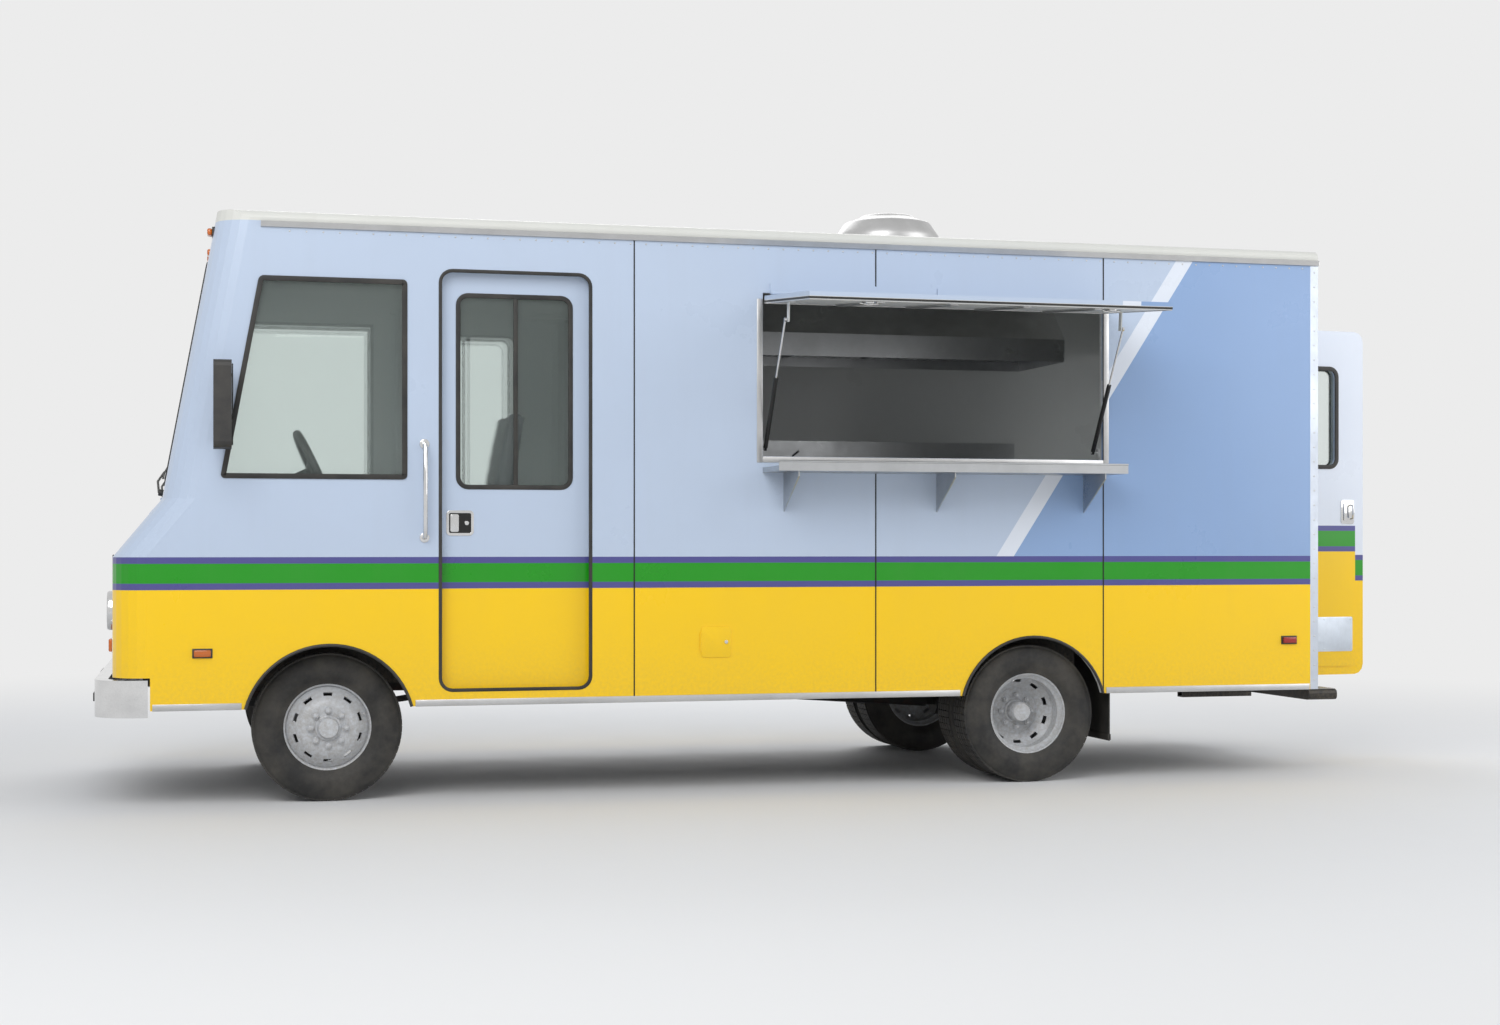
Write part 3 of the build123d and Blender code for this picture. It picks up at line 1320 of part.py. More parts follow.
def engine_cover():
    """The cover over the engine between the seats, open beneath."""
    x0, x1 = COVER_X
    half = COVER_HALF
    outer = prism_y(
        [(x0, FLOOR_TOP), (x1, FLOOR_TOP), (x1, COVER_TOP - 110), (x1 - 140, COVER_TOP), (x0, COVER_TOP)],
        (-half, half),
    )
    low = FLOOR_TOP - 1
    high = COVER_TOP - COVER_T
    back = x1 - COVER_T
    inner = prism_y(
        [(x0 + 10, low), (back, low), (back, high - 98), (back - 128, high), (x0 + 10, high)],
        (COVER_T - half, half - COVER_T),
    )
    return outer - inner


def dashboard():
    """The dash across the cab, the steering column and the wheel."""
    dash = prism_y(
        [(NOSE_X, 1290), (-2260, 1250), (-2200, 1330), (-2210, 1430), (-2400, 1450), (NOSE_X, 1450)],
        (-INNER_HALF, INNER_HALF),
    )
    dash = dash & envelope(WALL)
    centre = Vector(WHEEL_AT[0], DRIVER_Y, WHEEL_AT[1])
    foot = Vector(COLUMN_FOOT[0], DRIVER_Y, COLUMN_FOOT[1])
    plane = Plane(origin=centre, z_dir=centre - foot)
    low, high = WHEEL_R
    half = (high - low) / 2
    ring = [(-half, low), (-half, high), (half, high), (half, low)]
    rim_ring = Rot(90, 0, 0) * in_flats(ring, LAMP_SIDES)
    hub = rod_z(42, 0, 0, (-15, 15), RING_SIDES)
    spokes = [Rot(0, 0, angle) * block((30, 200), (-12, 12), (-8, 8)) for angle in (0, 120, 240)]
    column_length = (centre - foot).length
    column = rod_z(COLUMN_R, 0, 0, (-column_length, 0), PIN_SIDES)
    return dash + plane * (rim_ring + hub + spokes + column)


def driver_seat():
    """Pedestal, cushion and back, as plain closed forms."""
    y = (DRIVER_Y - SEAT_W / 2, DRIVER_Y + SEAT_W / 2)
    pedestal = block(PEDESTAL_X, (y[0] + 90, y[1] - 90), (FLOOR_TOP, SEAT_Z[0]))
    cushion = rounded_y(SEAT_X, SEAT_Z, y, 40, CORNER_CHORDS)
    back_y = (y[0] + 10, y[1] - 10)
    back = rounded_y((0, SEAT_BACK_T), (0, SEAT_BACK_H), back_y, 45, CORNER_CHORDS)
    back = Pos(SEAT_BACK_X, 0, SEAT_Z[1] - 30) * Rot(0, SEAT_BACK_LEAN, 0) * back
    return pedestal + cushion + back


def radiator():
    """The radiator behind the grille, on the first cross member."""
    front = NOSE_X + RADIATOR_BACK
    ys = (-RADIATOR_HALF, RADIATOR_HALF)
    return block((front, front + RADIATOR_T), ys, (RAIL_TOP - RAIL_T, RADIATOR_TOP))


fixed_wall_hinges = rear_place * fixed_hinges
barrels, rods, jamb_brackets = struts()
left_wall = serving_wall([hatch_place * hatch_fixed, *jamb_brackets])

wheels()
save("front_axle", front_axle())
save("knuckle_right", knuckle())
save("knuckle_left", other_side(knuckle()))
save("rear_axle", rear_axle())
save("leaf_springs", *springs())
save("chassis_frame", *chassis_frame())
save("cross_members", *cross_members())
save("engine_block", engine())
save("radiator", radiator())
save("drive_shaft", drive_shaft())
save("exhaust", exhaust())
save("fuel_tank", fuel_tank())
save("floor", floor())
save("stepwells", *stepwells())
save("side_wall_right", *side_wall(None))
save("side_wall_left", *left_wall)
save("rear_wall", rear_wall() + fixed_wall_hinges)
save("corner_posts", *corner_posts())
save("front_cowl", *front_cowl())
save("fixed_glass", *fixed_glass())
save("roof", roof())
save("hood", hood())
save("grille", grille())
save("headlamps", *headlamps())
save("front_bumper", front_bumper())
save("rear_bumper", rear_bumper())
save("tail_lamps", *tail_lamps())
save("mirrors", *mirrors())
save("cab_door_right", cab_door())
save("cab_door_left", other_side(cab_door()))
save("rear_door", rear_door())
save("service_hatch", service_hatch())
for end, barrel, rod in zip(("front", "rear"), barrels, rods):
    save(f"strut_barrel_{end}", barrel)
    save(f"strut_rod_{end}", rod)
save("serving_shelf", serving_shelf())
save("kitchen_counter", kitchen_counter())
save("cook_line", cook_line())
save("range_hood", range_hood())
save("fridge", fridge())
save("roof_vent", roof_vent())
save("engine_cover", engine_cover())
save("dashboard", dashboard())
save("driver_seat", driver_seat())
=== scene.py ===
"""Looks of a walk-in food truck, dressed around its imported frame. Sizes are in metres."""
from __future__ import annotations

import logging
import math
from dataclasses import dataclass, field
from enum import Enum
from typing import Iterable, Optional, Sequence

import bmesh
import bpy
from mathutils import Matrix, Vector


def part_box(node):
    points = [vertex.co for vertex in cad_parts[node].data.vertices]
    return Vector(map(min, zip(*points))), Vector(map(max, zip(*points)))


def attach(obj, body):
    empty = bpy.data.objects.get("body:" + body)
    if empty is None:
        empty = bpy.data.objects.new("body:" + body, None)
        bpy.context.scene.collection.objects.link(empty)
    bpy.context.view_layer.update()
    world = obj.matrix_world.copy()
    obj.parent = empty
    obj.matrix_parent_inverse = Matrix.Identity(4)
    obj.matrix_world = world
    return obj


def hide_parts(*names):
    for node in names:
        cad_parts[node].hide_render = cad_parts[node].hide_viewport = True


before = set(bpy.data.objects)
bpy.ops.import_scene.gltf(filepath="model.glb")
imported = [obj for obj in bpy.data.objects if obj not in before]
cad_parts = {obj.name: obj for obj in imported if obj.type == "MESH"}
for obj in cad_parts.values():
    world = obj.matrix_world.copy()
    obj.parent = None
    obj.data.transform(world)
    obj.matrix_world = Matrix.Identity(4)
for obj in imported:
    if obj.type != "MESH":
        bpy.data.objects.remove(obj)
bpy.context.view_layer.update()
LOG = logging.getLogger("food_truck")

Colour = tuple[float, float, float, float]
Triple = Sequence[float]
Socket = bpy.types.NodeSocket

SMOOTH_ANGLE = math.radians(38)
SHARP_ANGLE = 0.5
TRUCK = "truck"
SIDES = (-1, 1)

# The shut truck's own measures, as the frame has them. The nose line's points are (z, x), from
# the nose's foot over the screen's foot to the roof. The belt's edges are heights.
NOSE_LINE = ((1.150, -2.720), (1.420, -2.500), (2.768, -2.250))
SCREEN_RUN = NOSE_LINE[2][1] - NOSE_LINE[1][1]
SCREEN_RISE = NOSE_LINE[2][0] - NOSE_LINE[1][0]
SCREEN_OUT = Vector((-SCREEN_RISE, 0, SCREEN_RUN)).normalized()
NOSE_X = NOSE_LINE[0][1]
SIDE_Y = 1.100
WALL = 0.045
CORNER_R = 0.150
CAB_LEAF_Y = (1.019, 1.049)
REAR_X = 3.350
LEAF_FACE_X = 3.3578
AXLES_X = (-1.75, 1.75)
TYRE_R = 0.349
BELT = (1.000, 1.030, 1.120, 1.150)
RAISED_BELT = 0.170
FAN = (1.5, 0.5)
DOOR_PIVOT = Vector((3.364, -0.1625, 0.0))
DOOR_TURN = math.radians(-84)
HATCH_PIVOT = Vector((0.0, -1.114, 2.4375))
HATCH_TURN = math.radians(-85)


def srgb(red: int, green: int, blue: int) -> Colour:
    """Turns a display colour into the linear one that shaders take.

    Args:
        red: Red, 0 to 255.
        green: Green, 0 to 255.
        blue: Blue, 0 to 255.

    Returns:
        The linear colour with full alpha.
    """
    def linear(value: int) -> float:
        """One channel as linear light."""
        share = value / 255
        return share / 12.92 if share <= 0.04045 else ((share + 0.055) / 1.055) ** 2.4

    return (linear(red), linear(green), linear(blue), 1.0)


def grey(value: int) -> Colour:
    """A neutral display grey as a linear colour."""
    return srgb(value, value, value)


def front_x(z: float) -> float:
    """The x of the nose or windshield surface at a height.

    Args:
        z: Height over the ground.

    Returns:
        The x of the outer surface on the centre line.
    """
    for (low_z, low_x), (high_z, high_x) in zip(NOSE_LINE, NOSE_LINE[1:]):
        if z <= high_z:
            share = max(0.0, (z - low_z) / (high_z - low_z))
            return low_x + share * (high_x - low_x)
    return NOSE_LINE[-1][1]


def rectangle(low: Triple, high: Triple) -> list[Triple]:
    """The corners of a rectangle that lies square to an axis.

    Args:
        low: One corner.
        high: The corner across from it, level with the first along one axis.

    Returns:
        The four corners in order.
    """
    flat = next(axis for axis in range(3) if low[axis] == high[axis])
    first, second = [axis for axis in range(3) if axis != flat]
    made = []
    for near, far in ((low, low), (high, low), (high, high), (low, high)):
        point = list(low)
        point[first], point[second] = near[first], far[second]
        made.append(tuple(point))
    return made


def spoke(angle: float, radius: float = 1.0, upright: bool = False) -> Vector:
    """A step out from an axis, level or in the plane of a road wheel."""
    along, over = radius * math.cos(angle), radius * math.sin(angle)
    return Vector((along, 0, over)) if upright else Vector((along, over, 0))


def turned_about(pivot: Vector, angle: float, axis: str) -> Matrix:
    """The matrix of a turn about a line through a point, in radians."""
    return Matrix.Translation(pivot) @ Matrix.Rotation(angle, 4, axis) @ Matrix.Translation(-pivot)


DOOR_OPEN = turned_about(DOOR_PIVOT, DOOR_TURN, "Z")
HATCH_OPEN = turned_about(HATCH_PIVOT, HATCH_TURN, "X")


class Graph:
    """A material's nodes, wired through short calls."""

    def __init__(self, name: str) -> None:
        """Starts a material with one Principled shader.

        Args:
            name: The material's name.
        """
        self.material = bpy.data.materials.new(name)
        self.material.use_nodes = True
        self.tree = self.material.node_tree
        self.tree.nodes.clear()
        self.output = self.tree.nodes.new("ShaderNodeOutputMaterial")
        self.shader = self.tree.nodes.new("ShaderNodeBsdfPrincipled")
        self.tree.links.new(self.shader.outputs[0], self.output.inputs["Surface"])

    def node(self, kind: str, **settings: object) -> bpy.types.Node:
        """Adds a node and sets its attributes.

        Args:
            kind: The node's type.
            settings: Its attributes by name.

        Returns:
            The new node.
        """
        made = self.tree.nodes.new(kind)
        for key, value in settings.items():
            setattr(made, key, value)
        return made

    def feed(self, target: Socket, value: object) -> None:
        """Links a socket to an input, or sets the input's own value.

        Args:
            target: The input.
            value: A socket or a plain value.
        """
        if isinstance(value, bpy.types.NodeSocket):
            self.tree.links.new(value, target)
        else:
            target.default_value = value

    def surface(self, **inputs: object) -> None:
        """Feeds the shader's inputs, named with underscores for spaces."""
        for key, value in inputs.items():
            self.feed(self.shader.inputs[key.replace("_", " ")], value)

    def place(
        self, scale: Triple = (1, 1, 1), turn: Triple = (0, 0, 0), shift: Triple = (0, 0, 0),
    ) -> Socket:
        """Object coordinates, stretched, turned and then moved.

        Args:
            scale: Stretch along each axis.
            turn: Turn about each axis in radians.
            shift: Move along each axis.

        Returns:
            The coordinates.
        """
        coords = self.node("ShaderNodeTexCoord").outputs["Object"]
        mapping = self.node("ShaderNodeMapping", vector_type="POINT")
        self.feed(mapping.inputs["Vector"], coords)
        for key, value in {"Scale": scale, "Rotation": turn, "Location": shift}.items():
            mapping.inputs[key].default_value = value
        return mapping.outputs[0]

    def axes(self, vector: Socket) -> tuple[Socket, Socket, Socket]:
        """The three parts of a vector.

        Args:
            vector: The vector.

        Returns:
            Its x, y and z.
        """
        split = self.node("ShaderNodeSeparateXYZ")
        self.feed(split.inputs[0], vector)
        return split.outputs[0], split.outputs[1], split.outputs[2]

    def math(self, operation: str, *values: object) -> Socket:
        """One step of arithmetic.

        Args:
            operation: The operation's name.
            values: Sockets or numbers that it takes.

        Returns:
            The result.
        """
        made = self.node("ShaderNodeMath", operation=operation)
        for target, value in zip(made.inputs, values):
            self.feed(target, value)
        return made.outputs[0]

    def past(self, value: Socket, edge: object, width: float = 0.0015) -> Socket:
        """Zero below an edge and one above it, with a narrow soft step."""
        gap = self.math("SUBTRACT", value, edge)
        return self.span(gap, -width / 2, width / 2)

    def span(
        self, value: Socket, low: float, high: float, start: float = 0.0, end: float = 1.0,
    ) -> Socket:
        """Maps a range onto another and holds it there.

        Args:
            value: What is mapped.
            low: Start of its range.
            high: End of its range.
            start: What the start becomes.
            end: What the end becomes.

        Returns:
            The mapped value.
        """
        made = self.node("ShaderNodeMapRange", clamp=True)
        for target, given in zip(made.inputs, (value, low, high, start, end)):
            self.feed(target, given)
        return made.outputs[0]

    def noise(self, scale: float, vector: Socket, detail: float = 4.0, rough: float = 0.5) -> Socket:
        """Cloudy noise between zero and one.

        Args:
            scale: Clouds in a metre.
            vector: Where the noise is read.
            detail: Number of finer layers.
            rough: Strength of the finer layers.

        Returns:
            The noise.
        """
        made = self.node("ShaderNodeTexNoise")
        inputs = {"Vector": vector, "Scale": scale, "Detail": detail, "Roughness": rough}
        for key, value in inputs.items():
            self.feed(made.inputs[key], value)
        return made.outputs["Fac"]

    def cells(self, scale: float, vector: Socket, feature: str = "F1") -> Socket:
        """Distance to the cells of a Voronoi pattern.

        Args:
            scale: Cells in a metre.
            vector: Where the pattern is read.
            feature: What the distance is taken to.

        Returns:
            The distance.
        """
        made = self.node("ShaderNodeTexVoronoi", feature=feature)
        self.feed(made.inputs["Vector"], vector)
        self.feed(made.inputs["Scale"], scale)
        return made.outputs["Distance"]

    def ramp(
        self, factor: Socket, low: Colour, high: Colour, start: float = 0.0, end: float = 1.0,
    ) -> Socket:
        """A colour that goes from one to another along a factor.

        Args:
            factor: Place between the two.
            low: First colour.
            high: Second colour.
            start: Factor up to which the first holds.
            end: Factor from which the second holds.

        Returns:
            The colour.
        """
        made = self.node("ShaderNodeValToRGB")
        for stop, place, colour in zip(made.color_ramp.elements, (start, end), (low, high)):
            stop.position, stop.color = place, colour
        self.feed(made.inputs[0], factor)
        return made.outputs[0]

    def mix(self, factor: object, low: object, high: object, kind: str = "MIX") -> Socket:
        """Two colours mixed by a factor.

        Args:
            factor: Share of the second colour.
            low: First colour.
            high: Second colour.
            kind: How they mix.

        Returns:
            The mixed colour.
        """
        made = self.node("ShaderNodeMix", data_type="RGBA", blend_type=kind)
        self.feed(made.inputs[0], factor)
        self.feed(made.inputs[6], low)
        self.feed(made.inputs[7], high)
        return made.outputs[2]

    def bump(
        self, height: Socket, distance: float, strength: float = 1.0, under: Optional[Socket] = None,
    ) -> Socket:
        """A normal from a height pattern, over another normal if one is given.

        Args:
            height: The pattern.
            distance: Its height in metres.
            strength: How much of it shows.
            under: The normal beneath.

        Returns:
            The normal.
        """
        made = self.node("ShaderNodeBump")
        made.inputs["Distance"].default_value = distance
        made.inputs["Strength"].default_value = strength
        self.feed(made.inputs["Height"], height)
        if under is not None:
            self.feed(made.inputs["Normal"], under)
        return made.outputs[0]


@dataclass(frozen=True)
class Finish:
    """A named surface, wired once and shared by the pieces that use it."""

    name: str

    def material(self) -> bpy.types.Material:
        """The finish as a material, made at its first use.

        Returns:
            The material.
        """
        found = bpy.data.materials.get(self.name)
        if found is None:
            graph = Graph(self.name)
            self.wire(graph)
            found = graph.material
        return found

    def wire(self, graph: Graph) -> None:
        """Wires the material; each kind of finish has its own."""
        raise NotImplementedError


@dataclass(frozen=True)
class Paint(Finish):
    """Coach paint over sheet metal, with haze, road dust and a faint ripple."""

    colour: Colour = (0.8, 0.8, 0.8, 1.0)
    gloss: float = 0.30
    dust: float = 0.25
    coat: float = 0.3
    shine: float = 0.35
    ripple: float = 0.30

    def tone(self, graph: Graph) -> object:
        """The paint's own colour before dust and haze."""
        return self.colour

    def wire(self, graph: Graph) -> None:
        """Lays haze, dust and ripple over the paint's colour.

        Args:
            graph: The material's nodes.
        """
        place = graph.place()
        _, _, height = graph.axes(place)
        haze = graph.noise(2.2, place, 6.0, 0.6)
        speck = graph.noise(60.0, place, 5.0, 0.7)
        streak = graph.noise(9.0, graph.place(scale=(1.0, 1.0, 0.07)), 5.0, 0.6)
        base = graph.mix(graph.span(haze, 0.3, 0.8, 0.0, 0.05), self.tone(graph), grey(120))
        low = graph.span(height, 0.40, 1.05, 1.0, 0.0)
        near_road = graph.math("MULTIPLY", graph.math("POWER", low, 2.2), graph.span(speck, 0.35, 0.7))
        run = graph.math("MULTIPLY", graph.span(streak, 0.52, 0.9), 0.16)
        dirt = graph.math("MULTIPLY", graph.math("MAXIMUM", near_road, run), self.dust)
        colour = graph.mix(dirt, base, srgb(132, 118, 98))
        clean = graph.span(haze, 0.3, 0.8, self.gloss - 0.04, self.gloss + 0.07)
        rough = graph.math("ADD", clean, graph.math("MULTIPLY", dirt, 0.5))
        wave = graph.bump(graph.noise(1.7, place, 2.0, 0.4), 0.004, self.ripple)
        peel = graph.bump(graph.noise(420.0, place, 2.0, 0.5), 0.0002, 0.25, wave)
        graph.surface(
            Base_Color=colour, Roughness=rough, Specular_IOR_Level=self.shine,
            Coat_Weight=self.coat, Coat_Roughness=0.12, Normal=peel,
        )


class Surface(Enum):
    """Which of the truck's painted forms a livery covers."""

    BODY = "body"
    CAB = "cab"
    DOOR = "door"
    HATCH = "hatch"


@dataclass(frozen=True)
class Livery(Paint):
    """Blue over yellow with a banded belt, a slanted white stripe and a paler nose."""

    form: Surface = Surface.BODY
    blue: Colour = srgb(138, 166, 206)
    pale: Colour = srgb(186, 200, 220)
    white: Colour = srgb(222, 228, 238)
    purple: Colour = srgb(76, 76, 140)
    green: Colour = srgb(16, 146, 2)
    yellow: Colour = srgb(250, 203, 0)
    lining: Colour = srgb(205, 207, 206)
    stripe_x: float = 1.548
    stripe_w: float = 0.094
    lean: float = 0.649

    def closed_place(self, graph: Graph) -> Socket:
        """Coordinates of the form as it lies when it is shut.

        Args:
            graph: The material's nodes.

        Returns:
            The coordinates.
        """
        if self.form in (Surface.BODY, Surface.CAB):
            return graph.place()
        pivot, angle, axis = {
            Surface.DOOR: (DOOR_PIVOT, -DOOR_TURN, "Z"),
            Surface.HATCH: (HATCH_PIVOT, -HATCH_TURN, "X"),
        }[self.form]
        shift = turned_about(pivot, angle, axis).translation
        turn = (0, 0, angle) if axis == "Z" else (angle, 0, 0)
        return graph.place(turn=turn, shift=shift)

    def belt(self, graph: Graph, height: Socket, upper: object, rise: object) -> Socket:
        """The bands from the skirt up to the belt's top.

        Args:
            graph: The material's nodes.
            height: Height over the ground.
            upper: Colour over the belt.
            rise: How much higher the bands lie.

        Returns:
            The colour.
        """
        level = graph.math("SUBTRACT", height, rise)
        colour: object = self.yellow
        for edge, above in zip(BELT, (self.purple, self.green, self.purple, upper)):
            colour = graph.mix(graph.past(level, edge), colour, above)
        return colour

    def tone(self, graph: Graph) -> Socket:
        """The livery's colours, and the white lining on the inner faces.

        Args:
            graph: The material's nodes.

        Returns:
            The colour.
        """
        across, depth, height = graph.axes(self.closed_place(graph))
        if self.form is Surface.DOOR:
            return self.door_tone(graph, across, height)
        offset = self.stripe_x - self.lean * BELT[-1]
        slant = graph.math("SUBTRACT", across, graph.math("MULTIPLY_ADD", height, self.lean, offset))
        upper = graph.mix(graph.past(slant, 0.0), self.pale, self.white)
        upper = graph.mix(graph.past(slant, self.stripe_w), upper, self.blue)
        bands = self.belt(graph, height, upper, 0.0)
        side = graph.math("ABSOLUTE", depth)
        if self.form is Surface.HATCH:
            within = graph.math("LESS_THAN", side, SIDE_Y - 0.020)
            return graph.mix(within, upper, self.lining)
        if self.form is Surface.CAB:
            within = graph.math("LESS_THAN", side, CAB_LEAF_Y[1] - 0.010)
            return graph.mix(within, bands, self.lining)
        return graph.mix(self.inside(graph, across, side, height), bands, self.lining)

    def inside(self, graph: Graph, across: Socket, side: Socket, height: Socket) -> Socket:
        """One on the shell's inner faces, measured from its rounded front corners.

        Args:
            graph: The material's nodes.
            across: The x.
            side: Distance from the centre line.
            height: Height over the ground.

        Returns:
            One inside and zero outside.
        """
        (foot_z, foot_x), (sill_z, sill_x), (top_z, _) = NOSE_LINE
        nose = graph.span(height, foot_z, sill_z, foot_x, sill_x)
        screen = graph.span(height, sill_z, top_z, 0.0, SCREEN_RUN)
        corner = graph.math("ADD", graph.math("ADD", nose, screen), CORNER_R)
        ahead = graph.math("MAXIMUM", graph.math("SUBTRACT", corner, across), 0.0)
        beside = graph.math("MAXIMUM", graph.math("SUBTRACT", side, SIDE_Y - CORNER_R), 0.0)
        squares = [graph.math("POWER", part, 2.0) for part in (ahead, beside)]
        reach = graph.math("SQRT", graph.math("ADD", *squares))
        within = graph.math("LESS_THAN", reach, CORNER_R - WALL / 2)
        return graph.math("MULTIPLY", within, graph.math("LESS_THAN", across, REAR_X - WALL / 2))

    def door_tone(self, graph: Graph, across: Socket, height: Socket) -> Socket:
        """The rear leaf: white over the belt, which is painted sunlight and glare, and yellow beneath it.

        Args:
            graph: The material's nodes.
            across: The x of the shut leaf.
            height: Height over the ground.

        Returns:
            The colour.
        """
        raised = graph.math("GREATER_THAN", across, REAR_X + 0.004)
        # The white over the leaf's belt is painted sunlight and glare on its upper panel.
        outer = self.belt(graph, height, self.white, graph.math("MULTIPLY", raised, RAISED_BELT))
        return graph.mix(graph.math("GREATER_THAN", across, REAR_X - WALL / 2), self.lining, outer)


@dataclass(frozen=True)
class Metal(Finish):
    """Bare or brushed metal with fine scratches and smudges."""

    colour: Colour = grey(190)
    gloss: float = 0.3
    grain: Triple = (1.0, 40.0, 40.0)
    depth: float = 0.0002
    smudge: float = 0.12

    def wire(self, graph: Graph) -> None:
        """Draws grain along one axis under smudges.

        Args:
            graph: The material's nodes.
        """
        place = graph.place()
        lines = graph.noise(24.0, graph.place(scale=self.grain), 3.0, 0.7)
        patch = graph.noise(5.0, place, 5.0, 0.6)
        shade = graph.mix(graph.span(patch, 0.35, 0.75, 0.0, 0.25), self.colour, grey(96))
        colour = graph.mix(graph.span(lines, 0.3, 0.7, 0.0, 0.10), shade, grey(60))
        low, high = self.gloss - self.smudge / 2, self.gloss + self.smudge
        wear = [graph.math("MULTIPLY", lines, 0.4), graph.math("MULTIPLY", patch, 0.6)]
        rough = graph.span(graph.math("ADD", *wear), 0.3, 0.7, low, high)
        relief = graph.bump(lines, self.depth, 0.4)
        graph.surface(Base_Color=colour, Metallic=1.0, Roughness=rough, Normal=relief)


@dataclass(frozen=True)
class Plastic(Finish):
    """Moulded plastic or rubber with a fine grain."""

    colour: Colour = grey(30)
    gloss: float = 0.45
    grain: float = 900.0
    depth: float = 0.0003
    fade: float = 0.2

    def wire(self, graph: Graph) -> None:
        """Lays a leathery grain and a dusty fade over the colour.

        Args:
            graph: The material's nodes.
        """
        place = graph.place()
        fine = graph.cells(self.grain, place)
        cloud = graph.noise(6.0, place, 6.0, 0.65)
        faded = graph.span(cloud, 0.35, 0.8, 0.0, self.fade)
        colour = graph.mix(faded, self.colour, srgb(126, 120, 110))
        rough = graph.span(cloud, 0.3, 0.8, self.gloss, self.gloss + 0.15)
        graph.surface(Base_Color=colour, Roughness=rough, Normal=graph.bump(fine, self.depth, 0.5))


@dataclass(frozen=True)
class CastIron(Finish):
    """Rough dark castings and rusty underbody steel."""

    colour: Colour = grey(42)
    rust: float = 0.3

    def wire(self, graph: Graph) -> None:
        """Mixes scale, rust patches and road film.

        Args:
            graph: The material's nodes.
        """
        place = graph.place()
        patch = graph.noise(7.0, place, 8.0, 0.7)
        pit = graph.noise(160.0, place, 4.0, 0.7)
        rust = graph.ramp(pit, srgb(70, 38, 22), srgb(132, 78, 44), 0.3, 0.7)
        rusty = graph.math("MULTIPLY", graph.span(patch, 0.48, 0.66), self.rust)
        colour = graph.mix(rusty, self.colour, rust)
        graph.surface(
            Base_Color=colour,
            Roughness=graph.span(pit, 0.2, 0.8, 0.55, 0.85),
            Metallic=0.35,
            Normal=graph.bump(pit, 0.0008, 0.5),
        )


@dataclass(frozen=True)
class TreadPlate(Finish):
    """Aluminium floor plate with raised slanted bars."""

    colour: Colour = grey(165)
    pitch: float = 28.0

    def wire(self, graph: Graph) -> None:
        """Raises two sets of crossed bars, worn bright on top, also on upright faces.

        Args:
            graph: The material's nodes.
        """
        x, y, z = graph.axes(graph.place())
        scale = self.pitch * math.sqrt(0.5)
        slope = graph.math("MULTIPLY", graph.math("SUBTRACT", x, y), scale)
        steep = graph.math("MULTIPLY_ADD", z, 2.0, graph.math("ADD", x, y))
        climb = graph.math("MULTIPLY", steep, scale)
        bars = []
        for along, across, shift in ((slope, climb, 0.0), (climb, slope, 0.5)):
            long = graph.math("PINGPONG", graph.math("ADD", along, shift), 0.5)
            short = graph.math("PINGPONG", graph.math("ADD", across, shift), 0.5)
            ends = [graph.math("LESS_THAN", long, 0.28), graph.math("LESS_THAN", short, 0.08)]
            bars.append(graph.math("MULTIPLY", *ends))
        raised = graph.math("MAXIMUM", *bars)
        worn = graph.noise(8.0, graph.place(), 6.0, 0.6)
        flat = graph.ramp(worn, grey(96), self.colour, 0.3, 0.7)
        colour = graph.mix(graph.math("MULTIPLY", raised, 0.6), flat, grey(205))
        graph.surface(
            Base_Color=colour, Metallic=0.9, Roughness=graph.span(worn, 0.3, 0.7, 0.30, 0.5),
            Normal=graph.bump(raised, 0.0015, 0.8),
        )


@dataclass(frozen=True)
class Glazing(Finish):
    """Thin clear glass with a faint tint and a film of dust."""

    colour: Colour = srgb(214, 226, 222)
    clear: float = 0.9

    def wire(self, graph: Graph) -> None:
        """Sets thin clear glass, a little rougher where a film of dust lies.

        Args:
            graph: The material's nodes.
        """
        film = graph.noise(5.0, graph.place(), 5.0, 0.6)
        graph.surface(
            Base_Color=self.colour,
            Roughness=graph.span(film, 0.3, 0.8, 0.01, 0.04),
            IOR=1.12,
            Transmission_Weight=self.clear,
            Specular_IOR_Level=0.7,
            Alpha=0.55,
        )


@dataclass(frozen=True)
class Lens(Finish):
    """Moulded lamp lens with flutes, and painted shade along them."""

    colour: Colour = srgb(190, 20, 16)
    flutes: float = 120.0
    clear: float = 0.35
    # Share by which the flutes' painted shade darkens the colour.
    shade: float = 0.35

    def wire(self, graph: Graph) -> None:
        """Draws upright flutes across the lens, with painted shade along them.

        Args:
            graph: The material's nodes.
        """
        _, across, height = graph.axes(graph.place())
        wave = graph.math("SINE", graph.math("MULTIPLY", across, self.flutes * math.tau))
        row = graph.math("SINE", graph.math("MULTIPLY", height, self.flutes * math.pi))
        relief = graph.math("ADD", wave, graph.math("MULTIPLY", row, 0.4))
        # Painted shade: the lens colour darkens towards near-black along the flutes' relief.
        shade = graph.mix(graph.span(relief, -1.4, 1.4, 0.0, self.shade), self.colour, grey(20))
        graph.surface(
            Base_Color=shade, Roughness=0.08, Transmission_Weight=self.clear, Coat_Weight=0.6,
            Normal=graph.bump(relief, 0.0006, 0.6),
        )


@dataclass(frozen=True)
class Vinyl(Finish):
    """Seat cover of embossed vinyl with a soft sheen."""

    colour: Colour = grey(38)

    def wire(self, graph: Graph) -> None:
        """Lays creases and a leathery emboss over the colour.

        Args:
            graph: The material's nodes.
        """
        place = graph.place()
        emboss = graph.cells(420.0, place, "DISTANCE_TO_EDGE")
        crease = graph.noise(14.0, place, 7.0, 0.6)
        colour = graph.mix(graph.span(crease, 0.4, 0.7, 0.0, 0.3), self.colour, grey(70))
        folds = graph.bump(crease, 0.004, 0.4)
        graph.surface(
            Base_Color=colour, Roughness=graph.span(crease, 0.3, 0.7, 0.4, 0.6), Sheen_Weight=0.15,
            Normal=graph.bump(emboss, 0.0006, 0.5, folds),
        )


